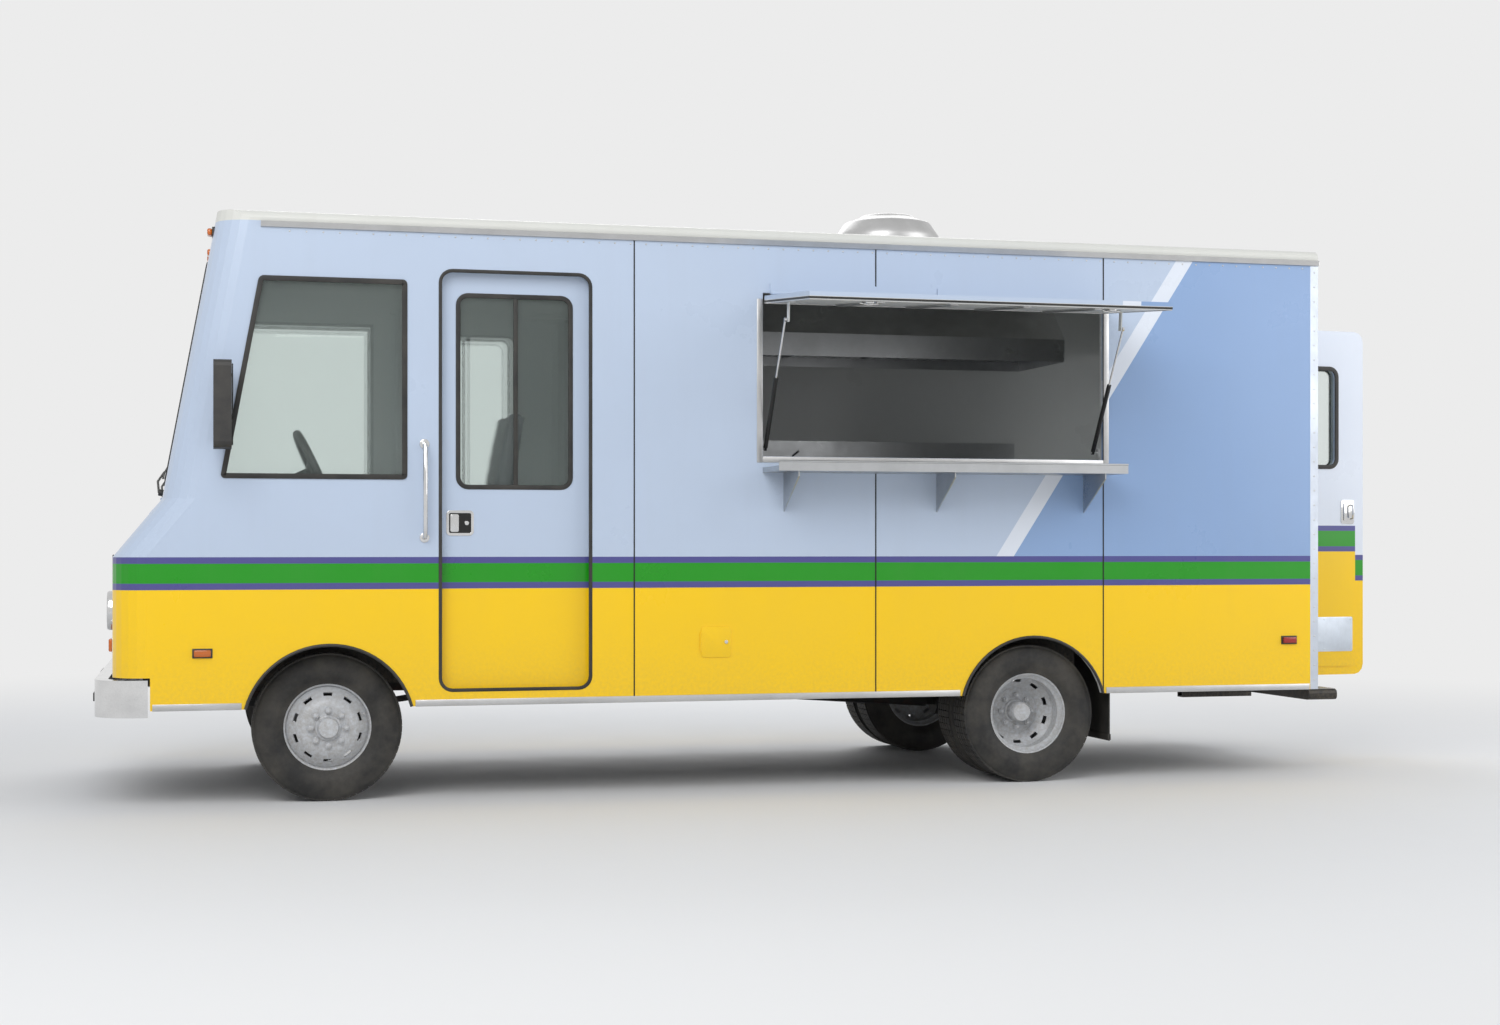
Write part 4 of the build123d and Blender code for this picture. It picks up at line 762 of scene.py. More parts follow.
BODY = Livery("body_livery", form=Surface.BODY)
CAB_LEAF = Livery("cab_door_livery", form=Surface.CAB)
LEAF = Livery("rear_leaf_livery", form=Surface.DOOR)
HATCH = Livery("hatch_livery", form=Surface.HATCH, gloss=0.42, coat=0.15, ripple=0.0)
ROOF_WHITE = Paint("roof_white", colour=srgb(214, 214, 208), gloss=0.45, dust=0.5, coat=0.2)
BELT_YELLOW = Paint("door_yellow", colour=srgb(250, 203, 0))
WHEEL_SILVER = Paint("wheel_silver_paint", colour=srgb(196, 199, 203), gloss=0.35, dust=0.5, ripple=0.0)
FRAME_BLACK = Paint("chassis_paint", colour=grey(26), gloss=0.45, dust=0.6, coat=0.1, ripple=0.0)
TRIM_BLACK = Paint("satin_black", colour=grey(24), gloss=0.35, dust=0.3, coat=0.1, ripple=0.0)
POST_SILVER = Metal("post_aluminium", colour=srgb(201, 208, 219), gloss=0.34, grain=(40.0, 40.0, 1.0))
SCUFFED = Metal(
    "scuffed_plate", colour=srgb(212, 220, 230), gloss=0.42, grain=(40.0, 40.0, 1.0), smudge=0.2,
)
ALUMINIUM = Metal("extruded_aluminium", colour=grey(205), gloss=0.32, grain=(1.0, 40.0, 40.0))
SPUN = Metal("spun_aluminium", colour=grey(200), gloss=0.36, grain=(40.0, 40.0, 40.0))
STEEL = Metal("brushed_stainless", colour=srgb(196, 198, 200), grain=(1.0, 60.0, 60.0))
STEEL_UP = Metal("upright_brushed_stainless", colour=srgb(196, 198, 200), grain=(60.0, 60.0, 1.0))
CHROME = Metal("bright_chrome", colour=grey(225), gloss=0.10, grain=(8.0, 8.0, 8.0), smudge=0.06)
EXHAUST = Metal("hot_exhaust", colour=srgb(128, 112, 98), gloss=0.45)
GRIDDLE = Metal("seasoned_griddle", colour=grey(70), gloss=0.4, grain=(30.0, 1.0, 30.0))
RUBBER = Plastic("tyre_rubber", colour=grey(27), gloss=0.62, grain=500.0, fade=0.35)
SEAL = Plastic("seal_rubber", colour=grey(22), gloss=0.5, grain=700.0)
BLACK = Plastic("grained_black", colour=grey(32), gloss=0.45)
DASH = Plastic("dash_grey", colour=grey(52), gloss=0.5, grain=600.0)
# Near-black for the dark panel joints, and for the painted shade in the door pulls' recesses.
DARK = Plastic("shadow_black", colour=grey(12), gloss=0.7, fade=0.05)
CAST = CastIron("road_grimed_casting")
CORE = CastIron("radiator_core", colour=grey(30), rust=0.05)
PLATE = TreadPlate("bar_tread_plate")
GLASS = Glazing("window_glass")
LAMP_GLASS = Lens("clear_lamp_lens", colour=srgb(240, 243, 246), flutes=40.0, clear=0.85, shade=0.06)
LAMP_RED = Lens("red_lamp_lens")
LAMP_AMBER = Lens("amber_lamp_lens", colour=srgb(238, 120, 10))
MIRROR = Metal("mirror_glass", colour=grey(228), gloss=0.03, grain=(4.0, 4.0, 4.0), smudge=0.02)
VINYL = Vinyl("seat_vinyl")
WHITE_PANEL = Plastic("white_panel", colour=grey(212), gloss=0.35, grain=300.0, fade=0.1)


def verts_of(geom: Iterable[object]) -> list[bmesh.types.BMVert]:
    """The vertices among what an operator made."""
    return [item for item in geom if isinstance(item, bmesh.types.BMVert)]


def stand(name: str, data: bpy.types.ID) -> bpy.types.Object:
    """Puts an object with this data into the scene.

    Args:
        name: The object's name.
        data: Its mesh, lamp or camera.

    Returns:
        The new object.
    """
    made = bpy.data.objects.new(name, data)
    bpy.context.scene.collection.objects.link(made)
    return made


class Shape:
    """A mesh under construction, made with bmesh operators in the truck's frame."""

    def __init__(self) -> None:
        """Starts empty."""
        self.bm = bmesh.new()

    def soften(self, verts: Iterable[bmesh.types.BMVert], width: float, segments: int = 2) -> "Shape":
        """Rounds the sharp edges among some vertices.

        Args:
            verts: The vertices.
            width: Width of the rounding.
            segments: Steps in it.

        Returns:
            The same shape.
        """
        edges = {edge for vert in verts if vert.is_valid for edge in vert.link_edges}
        folds = [edge for edge in edges if len(edge.link_faces) == 2]
        sharp = [edge for edge in folds if edge.calc_face_angle(0.0) > SHARP_ANGLE]
        bmesh.ops.bevel(
            self.bm, geom=sharp, offset=width, affect="EDGES", segments=segments,
            profile=0.5, material=-1, clamp_overlap=True,
        )
        return self

    def box(self, low: Triple, high: Triple, soft: float = 0.0, segments: int = 2) -> "Shape":
        """A block between two corners, with rounded edges if asked.

        Args:
            low: One corner.
            high: The corner across from it.
            soft: Width of the rounded edges.
            segments: Steps in the rounding.

        Returns:
            The same shape.
        """
        corners = [Vector((min(a, b), max(a, b))) for a, b in zip(low, high)]
        size = Vector([pair[1] - pair[0] for pair in corners])
        middle = Vector([(pair[1] + pair[0]) / 2 for pair in corners])
        place = Matrix.Translation(middle) @ Matrix.Diagonal((*size, 1.0))
        verts = bmesh.ops.create_cube(self.bm, size=1.0, matrix=place)["verts"]
        return self.soften(verts, soft, segments) if soft else self

    def rod(
        self, start: Triple, end: Triple, radius: float, sides: int = 20, soft: float = 0.0,
        tip: Optional[float] = None,
    ) -> "Shape":
        """A round bar between two points.

        Args:
            start: Centre of the first end.
            end: Centre of the second end.
            radius: Radius at the first end.
            sides: Sides round the bar.
            soft: Width of the rounded rims.
            tip: Radius at the second end, if it differs.

        Returns:
            The same shape.
        """
        first, last = Vector(start), Vector(end)
        along = last - first
        turn = Vector((0, 0, 1)).rotation_difference(along).to_matrix().to_4x4()
        place = Matrix.Translation((first + last) / 2) @ turn
        verts = bmesh.ops.create_cone(
            self.bm, cap_ends=True, cap_tris=False, segments=sides, radius1=radius,
            radius2=radius if tip is None else tip, depth=along.length, matrix=place,
        )["verts"]
        return self.soften(verts, soft) if soft else self

    def dome(self, centre: Triple, radius: float, normal: Triple, flat: float = 0.5) -> "Shape":
        """A low round head, such as a rivet's or a bolt's.

        Args:
            centre: Middle of its foot.
            radius: Radius of its foot.
            normal: Where it faces.
            flat: Its height as a share of the radius.

        Returns:
            The same shape.
        """
        turn = Vector((0, 0, 1)).rotation_difference(Vector(normal)).to_matrix().to_4x4()
        place = Matrix.Translation(centre) @ turn @ Matrix.Diagonal((1.0, 1.0, flat, 1.0))
        bmesh.ops.create_uvsphere(self.bm, u_segments=10, v_segments=6, radius=radius, matrix=place)
        return self

    def hexagon(self, centre: Triple, radius: float, normal: Triple, height: float) -> "Shape":
        """A six-sided nut or bolt head."""
        end = Vector(centre) + Vector(normal).normalized() * height
        return self.rod(centre, end, radius, sides=6, soft=radius * 0.12)

    def lathe(
        self, profile: Sequence[tuple[float, float]], centre: Triple, axis: Triple, steps: int = 48,
        closed: bool = True,
    ) -> "Shape":
        """Spins an outline about an axis.

        Args:
            profile: Points of (radius, distance along the axis).
            centre: The point on the axis where that distance is zero.
            axis: Direction of the axis.
            steps: Steps round the full turn.
            closed: Whether the last point joins the first.

        Returns:
            The same shape.
        """
        line, origin = Vector(axis).normalized(), Vector(centre)
        side = line.orthogonal().normalized()
        verts = [self.bm.verts.new(origin + side * radius + line * height) for radius, height in profile]
        pairs = list(zip(verts, verts[1:])) + ([(verts[-1], verts[0])] if closed else [])
        edges = [self.bm.edges.new(pair) for pair in pairs]
        bmesh.ops.spin(
            self.bm, geom=verts + edges, cent=origin, axis=line, angle=math.tau, steps=steps, use_merge=True,
        )
        return self

    def face(self, points: Sequence[Triple], corner: float = 0.0, segments: int = 6) -> bmesh.types.BMFace:
        """A flat face whose corners may be rounded.

        Args:
            points: Its corners.
            corner: Radius of the corners.
            segments: Steps in each corner.

        Returns:
            The face.
        """
        verts = [self.bm.verts.new(point) for point in points]
        made = self.bm.faces.new(verts)
        if corner:
            rounded = bmesh.ops.bevel(
                self.bm, geom=verts, offset=corner, affect="VERTICES", segments=segments,
                profile=0.5, material=-1, clamp_overlap=True,
            )
            made = rounded["verts"][0].link_faces[0]
        return made

    def thicken(self, faces: Sequence[bmesh.types.BMFace], push: Triple, soft: float = 0.0) -> "Shape":
        """Extrudes faces along a vector into a closed slab.

        Args:
            faces: The faces.
            push: Direction and length of the extrusion.
            soft: Width of the rounded edges.

        Returns:
            The same shape.
        """
        made = bmesh.ops.extrude_face_region(self.bm, geom=list(faces), use_keep_orig=True)
        verts = verts_of(made["geom"])
        bmesh.ops.translate(self.bm, verts=verts, vec=Vector(push))
        return self.soften(verts, soft) if soft else self

    def slab(
        self, points: Sequence[Triple], push: Triple, corner: float = 0.0, soft: float = 0.0,
    ) -> "Shape":
        """A flat outline extruded along a vector, with rounded corners if asked."""
        return self.thicken([self.face(points, corner)], push, soft)

    def surround(
        self, points: Sequence[Triple], border: float, push: Triple, corner: float = 0.0, soft: float = 0.0,
    ) -> "Shape":
        """A closed frame inside an outline, such as a window seal.

        Args:
            points: The outline's corners.
            border: Width of the frame.
            push: Direction and length of its depth.
            corner: Radius of the outer corners.
            soft: Width of the rounded edges.

        Returns:
            The same shape.
        """
        middle = self.face(points, corner)
        ring = bmesh.ops.inset_region(
            self.bm, faces=[middle], thickness=border, use_even_offset=True, use_boundary=True,
        )["faces"]
        bmesh.ops.delete(self.bm, geom=[middle], context="FACES")
        return self.thicken(ring, push, soft)

    def tube(self, path: Sequence[Triple], radius: float, sides: int = 10, closed: bool = False) -> "Shape":
        """A round tube along a path, with capped ends unless it is closed.

        Args:
            path: Points along its middle.
            radius: Its radius.
            sides: Sides round it.
            closed: Whether the last point joins the first.

        Returns:
            The same shape.
        """
        points = [Vector(point) for point in path]
        count = len(points)
        way = []
        for number, point in enumerate(points):
            after = points[(number + 1) % count] if closed or number + 1 < count else point
            before = points[number - 1] if closed or number > 0 else point
            way.append((after - before).normalized())
        turn = Vector((0, 0, 1)).rotation_difference(way[0]).to_matrix().to_4x4()
        start = bmesh.ops.create_circle(
            self.bm, cap_ends=False, segments=sides, radius=radius,
            matrix=Matrix.Translation(points[0]) @ turn,
        )["verts"]
        ring = list({edge for vert in start for edge in vert.link_edges})
        first_ring, made_verts = list(ring), list(start)
        for number in range(1, count + (1 if closed else 0)):
            now, last = number % count, number - 1
            geom = bmesh.ops.extrude_edge_only(self.bm, edges=ring)["geom"]
            verts = verts_of(geom)
            edges = [item for item in geom if isinstance(item, bmesh.types.BMEdge)]
            ring = [edge for edge in edges if all(vert in verts for vert in edge.verts)]
            swing = way[last].rotation_difference(way[now]).to_matrix().to_4x4()
            move = Matrix.Translation(points[now]) @ swing @ Matrix.Translation(-points[last])
            bmesh.ops.transform(self.bm, matrix=move, verts=verts)
            made_verts += verts
        if closed:
            bmesh.ops.remove_doubles(self.bm, verts=made_verts, dist=radius * 0.2)
        else:
            bmesh.ops.edgeloop_fill(self.bm, edges=first_ring)
            bmesh.ops.edgeloop_fill(self.bm, edges=ring)
        return self

    def moved(self, matrix: Matrix) -> "Shape":
        """Moves or turns everything made so far."""
        bmesh.ops.transform(self.bm, matrix=matrix, verts=self.bm.verts[:])
        return self

    def join(self, other: "Shape") -> None:
        """Takes over another shape, which ends with this.

        Args:
            other: The shape to take over.
        """
        mesh = bpy.data.meshes.new("part")
        other.bm.to_mesh(mesh)
        other.bm.free()
        self.bm.from_mesh(mesh)
        bpy.data.meshes.remove(mesh)

    def both_sides(self) -> "Shape":
        """Adds a copy on the other side of the centre line.

        Returns:
            The same shape.
        """
        geom = self.bm.verts[:] + self.bm.edges[:] + self.bm.faces[:]
        made = bmesh.ops.duplicate(self.bm, geom=geom)
        bmesh.ops.scale(self.bm, vec=(1, -1, 1), verts=verts_of(made["geom"]))
        return self

    def piece(
        self, name: str, body: str, finish: Finish, slot: str, replaces: Sequence[str] = (),
    ) -> bpy.types.Object:
        """Turns the shape into a finished piece that rides on a body.

        Args:
            name: The piece's name.
            body: The body that it moves with.
            finish: Its surface.
            slot: The record's material slot, which is not used.
            replaces: The nodes that it stands for.

        Returns:
            The new object.
        """
        bmesh.ops.remove_doubles(self.bm, verts=self.bm.verts[:], dist=1e-6)
        bmesh.ops.recalc_face_normals(self.bm, faces=self.bm.faces[:])
        mesh = bpy.data.meshes.new(name)
        self.bm.to_mesh(mesh)
        self.bm.free()
        mesh.shade_smooth()
        mesh.set_sharp_from_angle(angle=SMOOTH_ANGLE)
        made = stand(name, mesh)
        made.data.materials.append(finish.material())
        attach(made, body)
        if replaces:
            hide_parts(*replaces)
        LOG.info("%s: %d faces on %s", name, len(mesh.polygons), body)
        return made


def dress(node: str, finish: Finish) -> None:
    """Gives a node's own mesh a finish.

    Args:
        node: The node.
        finish: Its surface.
    """
    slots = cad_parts[node].data.materials
    slots.clear()
    slots.append(finish.material())


@dataclass
class RoadWheel:
    """One tyre and rim, or a twin pair, dressed at its hub."""

    name: str
    body: str
    rim_node: str
    tyre_node: str
    side: int
    twin: bool
    radius: float = TYRE_R
    width: float = 0.196
    rim_r: float = 0.203
    spacing: float = 0.235
    blocks: int = 64
    holes: int = 10
    nuts: int = 8
    nut_circle: float = 0.0825
    valve_r: float = 0.178
    half_well: float = 0.078
    front_disc: tuple[float, float] = (0.1175, 0.058)
    twin_disc: tuple[float, float] = (0.1015, 0.052)

    def hub(self) -> Vector:
        """The middle of the outer tyre.

        Returns:
            The point on the wheel's axis.
        """
        low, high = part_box(self.tyre_node)
        middle = (low + high) / 2
        reach = high.y if self.side > 0 else low.y
        return Vector((middle.x, reach - self.side * self.width / 2, self.radius))

    def tread(self, centre: Vector) -> Shape:
        """A carcass with beads, a rounded side wall and rows of raised blocks.

        Args:
            centre: The middle of the tyre.

        Returns:
            The tyre's shape.
        """
        half, top, groove = self.width / 2, self.radius, 0.007
        base = top - groove
        # Columns: out from the rim's seat, in from the tyre's widest place.
        bead = [
            (0.001, 0.022), (0.010, 0.017), (0.020, 0.014), (0.028, 0.007), (0.048, 0.001), (0.064, 0.0),
            (0.085, 0.001),
        ]
        side = [(self.rim_r + out, half - in_by) for out, in_by in bead]
        side += [(top - 0.038, half - 0.005), (top - 0.024, half - 0.010), (top - 0.014, half - 0.014)]
        side += [(base - 0.003, half - 0.019)]
        ribs = (0.079, 0.050, 0.045, 0.0175, 0.0125)
        rows = [(base - 0.001 if place > 0.07 else base, place) for place in ribs]
        half_line = side + rows
        profile = half_line + [(radius, -place) for radius, place in reversed(half_line)]
        shape = Shape().lathe(profile, centre, (0, 1, 0), steps=self.blocks)
        blocks = [face for face in shape.bm.faces if self.is_rib(face, centre, base)]
        bmesh.ops.inset_individual(shape.bm, faces=blocks, thickness=0.0028, depth=groove)
        return shape

    def is_rib(self, face: bmesh.types.BMFace, centre: Vector, base: float) -> bool:
        """Whether a face lies on one of the tread's rows.

        Args:
            face: The face.
            centre: The middle of the tyre.
            base: Radius at the foot of the blocks.

        Returns:
            True on a row.
        """
        middle = face.calc_center_median() - centre
        out = math.hypot(middle.x, middle.z)
        return out > base - 0.006 and face.calc_area() > 0.0006

    def tyres(self) -> None:
        """The tyre, or both tyres of a twin pair."""
        shape = self.tread(self.hub())
        if self.twin:
            shape.join(self.tread(self.hub() - Vector((0, self.side * self.spacing, 0))))
        shape.piece(f"{self.name}_tread", self.body, RUBBER, "tyre", [self.tyre_node])

    def barrel(self, shape: Shape, centre: Vector) -> None:
        """The rim's well with its rolled lips.

        Args:
            shape: The shape to add to.
            centre: The middle of the rim.
        """
        # Columns: out from the tyre's seat, in from the rim's edge.
        lip = [(0.013, 0.0), (0.014, 0.004), (0.010, 0.008), (0.0, 0.010), (-0.004, 0.028), (-0.020, 0.045)]
        outline = [(self.rim_r + out, self.half_well - in_by) for out, in_by in lip]
        far = [(radius, -place) for radius, place in reversed(outline)]
        inner = [(radius - 0.006, place) for radius, place in reversed(outline + far)]
        shape.lathe(outline + far + inner, centre, (0, self.side, 0), steps=72)

    def disc(self, shape: Shape, centre: Vector, face: float, bulge: float) -> None:
        """The pressed disc with its ring of hand holes.

        Args:
            shape: The shape to add to.
            centre: The middle of the rim.
            face: Where the hub face lies, outwards from the middle.
            bulge: Where the disc meets the barrel.
        """
        disc = Shape()
        steps = self.holes * 8
        # Columns: radius, share of the way from the hub face to the bulge.
        dish = ((0.130, 0.16), (0.146, 0.36), (0.168, 0.68), (0.180, 0.86))
        line = [(0.058, face), (0.106, face), (0.118, face - 0.004)]
        line += [(radius, face + (bulge - face) * share) for radius, share in dish]
        line += [(0.188, bulge), (0.193, bulge - 0.010)]
        disc.lathe(line, centre, (0, self.side, 0), steps=steps, closed=False)
        open_faces = [one for one in disc.bm.faces if self.in_hole(one, centre)]
        ring = bmesh.ops.inset_region(
            disc.bm, faces=open_faces, thickness=0.004, use_even_offset=True,
        )["faces"]
        holes = [one for one in open_faces if one.is_valid and one not in ring]
        bmesh.ops.delete(disc.bm, geom=holes, context="FACES")
        bmesh.ops.recalc_face_normals(disc.bm, faces=disc.bm.faces[:])
        bmesh.ops.solidify(disc.bm, geom=disc.bm.faces[:], thickness=0.007)
        shape.join(disc)

    def in_hole(self, face: bmesh.types.BMFace, centre: Vector) -> bool:
        """Whether a face of the disc lies in a hand hole.

        Args:
            face: The face.
            centre: The middle of the rim.

        Returns:
            True in a hole.
        """
        middle = face.calc_center_median() - centre
        out = math.hypot(middle.x, middle.z)
        share = (math.atan2(middle.z, middle.x) / math.tau * self.holes) % 1.0
        return 0.146 < out < 0.170 and 0.24 < share < 0.76

    def rim(self) -> None:
        """Barrel, disc, hub and nuts, or both rims of a twin pair."""
        shape, centre = Shape(), self.hub()
        out = Vector((0, self.side, 0))
        face, bulge = [-place for place in self.twin_disc] if self.twin else self.front_disc
        self.barrel(shape, centre)
        self.disc(shape, centre, face, bulge)
        if self.twin:
            inner = centre - out * self.spacing
            self.barrel(shape, inner)
            self.disc(shape, inner, *self.twin_disc)
        hub_end = face + (0.094 if self.twin else 0.032)
        flange = [
            (0.0, face - 0.020), (0.112, face - 0.020), (0.112, face - 0.008), (0.062, face + 0.001),
            (0.060, face + 0.006), (0.052, face + 0.010), (0.050, hub_end - 0.010),
            (0.044, hub_end - 0.002), (0.020, hub_end), (0.0, hub_end),
        ]
        shape.lathe(flange, centre, out, steps=48, closed=False)
        for number in range(self.nuts):
            angle = math.tau * number / self.nuts
            place = centre + out * (face + 0.001) + spoke(angle, self.nut_circle, upright=True)
            shape.rod(place, place + out * 0.004, 0.019, sides=16)
            shape.hexagon(place, 0.0145, out, 0.022)
            shape.rod(place, place + out * 0.032, 0.0075, sides=12, soft=0.001)
        valve = centre + out * (bulge + 0.004) + spoke(math.radians(20), self.valve_r, upright=True)
        shape.rod(valve, valve + out * 0.026, 0.0042, sides=10)
        shape.piece(f"{self.name}_rim", self.body, WHEEL_SILVER, "wheel_paint", [self.rim_node])

    def build(self) -> None:
        """Builds the tyre and the rim."""
        self.tyres()
        self.rim()


@dataclass
class Chassis:
    """Frame, axles, engine and what hangs beneath the floor."""

    finishes: dict[str, Finish] = field(default_factory=lambda: {
        "chassis_frame": FRAME_BLACK, "cross_members": FRAME_BLACK, "front_axle": CAST, "rear_axle": CAST,
        "leaf_springs": CAST, "knuckle_left": CAST, "knuckle_right": CAST, "engine_block": CAST,
        "drive_shaft": CAST, "radiator": CORE, "exhaust": EXHAUST, "fuel_tank": FRAME_BLACK,
        "rear_bumper": TRIM_BLACK, "front_bumper": CHROME,
    })
    flap_x: float = 2.185
    flap_y: tuple[float, float] = (0.60, 1.045)

    def build(self) -> None:
        """Dresses the steel and adds flaps, spring clips and the step plate."""
        for node, finish in self.finishes.items():
            dress(node, finish)
        self.flaps()
        self.clips()
        self.step()

    def flaps(self) -> None:
        """Rubber flaps behind the rear wheels."""
        shape = Shape()
        low, high = self.flap_y
        shape.box((self.flap_x, low, 0.20), (self.flap_x + 0.008, high, 0.70), soft=0.003)
        shape.box((self.flap_x - 0.006, low, 0.660), (self.flap_x + 0.014, high, 0.700), soft=0.002)
        shape.box((self.flap_x - 0.004, low, 0.205), (self.flap_x + 0.012, high, 0.235), soft=0.002)
        for share in (0.1, 0.5, 0.9):
            shape.hexagon((self.flap_x + 0.014, low + share * (high - low), 0.68), 0.009, (1, 0, 0), 0.006)
        shape.both_sides().piece("mud_flaps", TRUCK, SEAL, "black_plastic")

    def clips(self) -> None:
        """The bolts that clamp each spring to its axle."""
        shape = Shape()
        for axle_x, seat in zip(AXLES_X, (0.381, 0.401)):
            for offset in (-0.05, 0.05):
                for y in (0.366, 0.433):
                    x = axle_x + offset
                    shape.rod((x, y, seat - 0.09), (x, y, seat + 0.05), 0.0055, sides=10)
                    shape.hexagon((x, y, seat + 0.04), 0.010, (0, 0, 1), 0.010)
        shape.both_sides().piece("spring_bolts", TRUCK, CAST, "chassis_black")

    def step(self) -> None:
        """Tread plate on the rear step, and its bolts."""
        shape, bolts = Shape(), Shape()
        top, half = 0.4435, 0.985
        shape.box((3.362, -half, top - 0.003), (3.518, half, top), soft=0.001)
        shape.piece("step_plate", TRUCK, PLATE, "bumper_steel")
        count, reach = 8, half - 0.055
        for number in range(count):
            y = -reach + number * 2 * reach / (count - 1)
            bolts.dome((3.50, y, top), 0.006, (0, 0, 1))
        bolts.piece("step_bolts", TRUCK, ALUMINIUM, "bumper_steel")


@dataclass
class BodyShell:
    """Walls, roof, posts and their seams, seals, rivets and lamps."""

    seams: tuple[float, ...] = (2.130, 0.910, -0.310)
    skirt: float = 0.450
    eaves: float = 2.700
    pitch: float = 0.0763
    grab_x: float = -1.312
    arch_r: float = 0.392

    def build(self) -> None:
        """Dresses the panels and adds what is fixed to them."""
        for node in ("front_cowl", "side_wall_left", "side_wall_right", "rear_wall", "hood"):
            dress(node, BODY)
        dress("roof", ROOF_WHITE)
        dress("corner_posts", POST_SILVER)
        dress("fixed_glass", GLASS)
        for step in (
            self.seam_lines, self.rails, self.rivets, self.arch_lips, self.seals, self.door_glass,
            self.marker_lamps, self.rub_rail, self.filler, self.grab_handles,
        ):
            step()

    def grab_handles(self) -> None:
        """Grab handles ahead of the cab doors and beside the rear doorway."""
        shape = Shape()
        grips = [(Vector((self.grab_x, side * SIDE_Y, 1.240)), Vector((0, side, 0))) for side in SIDES]
        grips.append((Vector((REAR_X, 0.800, 1.260)), Vector((1, 0, 0))))
        length, out = 0.440, 0.046
        low_end = ((0.0, 0.0), (0.008, 0.7 * out), (0.040, out))
        bends = low_end + tuple((length - rise, reach) for rise, reach in reversed(low_end))
        for foot, way in grips:
            path = [foot + way * reach + Vector((0, 0, rise)) for rise, reach in bends]
            shape.tube(path, 0.011, sides=14)
            for end in (foot, foot + Vector((0, 0, length))):
                shape.rod(end - way * 0.001, end + way * 0.005, 0.023, sides=28, soft=0.002)
        shape.piece("grab_handles", TRUCK, CHROME, "chrome_rod")

    def seam_lines(self) -> None:
        """Dark lap joints between the side panels, broken by the serving opening."""
        shape = Shape()
        top = self.eaves - 0.03
        whole, broken = ((self.skirt, top),), ((self.skirt, 1.56), (2.46, top))
        for x in self.seams:
            for y, spans in ((SIDE_Y, whole), (-SIDE_Y, broken if 0.33 < x < 2.12 else whole)):
                for low, high in spans:
                    shape.box((x - 0.003, y - 0.0016, low), (x + 0.003, y + 0.0016, high))
        shape.piece("panel_joints", TRUCK, DARK, "black_plastic")

    def rails(self) -> None:
        """The gutter rail over the walls and the trim under the skirt."""
        shape = Shape()
        front, rear = -2.06, REAR_X - 0.002
        section = (
            (0.0, 0.030), (0.010, 0.028), (0.018, 0.004), (0.014, 0.002), (0.007, 0.018), (0.0, 0.014),
        )
        outline = [(front, SIDE_Y + out, self.eaves - drop) for out, drop in section]
        shape.slab(outline, (rear - front, 0, 0))
        shape.both_sides()
        low, high = self.eaves - 0.026, self.eaves - 0.004
        shape.box((REAR_X - 0.002, -SIDE_Y, low), (REAR_X + 0.010, SIDE_Y, high), soft=0.003)
        shape.piece("gutter_rail", TRUCK, ALUMINIUM, "post_metal")
        trim = Shape()
        low, high = self.skirt - 0.001, self.skirt + 0.030
        for front, rear in ((-2.54, -2.146), (-1.354, 1.354), (2.146, 3.30)):
            trim.box((front, SIDE_Y - 0.002, low), (rear, SIDE_Y + 0.004, high), soft=0.0015)
        trim.both_sides().piece("skirt_trim", TRUCK, ALUMINIUM, "post_metal")

    def rivets(self) -> None:
        """Rows of rivets under the eaves and down the corner posts."""
        shape = Shape()
        radius, flat, edge = 0.0045, 0.45, 0.022
        for side in SIDES:
            y = side * (SIDE_Y + 0.0002)
            count = int((REAR_X + 1.95) / self.pitch)
            for number in range(count):
                x = -1.93 + number * self.pitch
                shape.dome((x, y, self.eaves - 0.045), radius, (0, side, 0), flat)
            for number in range(29):
                z = 0.50 + number * self.pitch
                shape.dome((REAR_X - edge, y, z), radius, (0, side, 0), flat)
                shape.dome((REAR_X + 0.0002, side * (SIDE_Y - edge), z), radius, (1, 0, 0), flat)
        shape.piece("body_rivets", TRUCK, ALUMINIUM, "post_metal")

    def arch_lips(self) -> None:
        """Rolled lips round the wheel arches."""
        shape = Shape()
        start = math.asin((self.skirt - TYRE_R) / self.arch_r)
        steps = 28
        angles = [start + (math.pi - 2 * start) * number / steps for number in range(steps + 1)]
        for centre_x in AXLES_X:
            centre = Vector((centre_x, SIDE_Y + 0.001, TYRE_R))
            path = [centre + spoke(angle, self.arch_r, upright=True) for angle in angles]
            shape.tube(path, 0.0075, sides=8)
        shape.both_sides().piece("arch_lips", TRUCK, BLACK, "black_plastic")

    def screen_points(
        self, low_y: float, high_y: float, low_z: float, high_z: float, out: float,
    ) -> list[Vector]:
        """The corners of a pane between two y and two z on the sloped screen, moved outwards."""
        upright = rectangle((0.0, low_y, low_z), (0.0, high_y, high_z))
        return [Vector((front_x(z), y, z)) + SCREEN_OUT * out for _, y, z in upright]

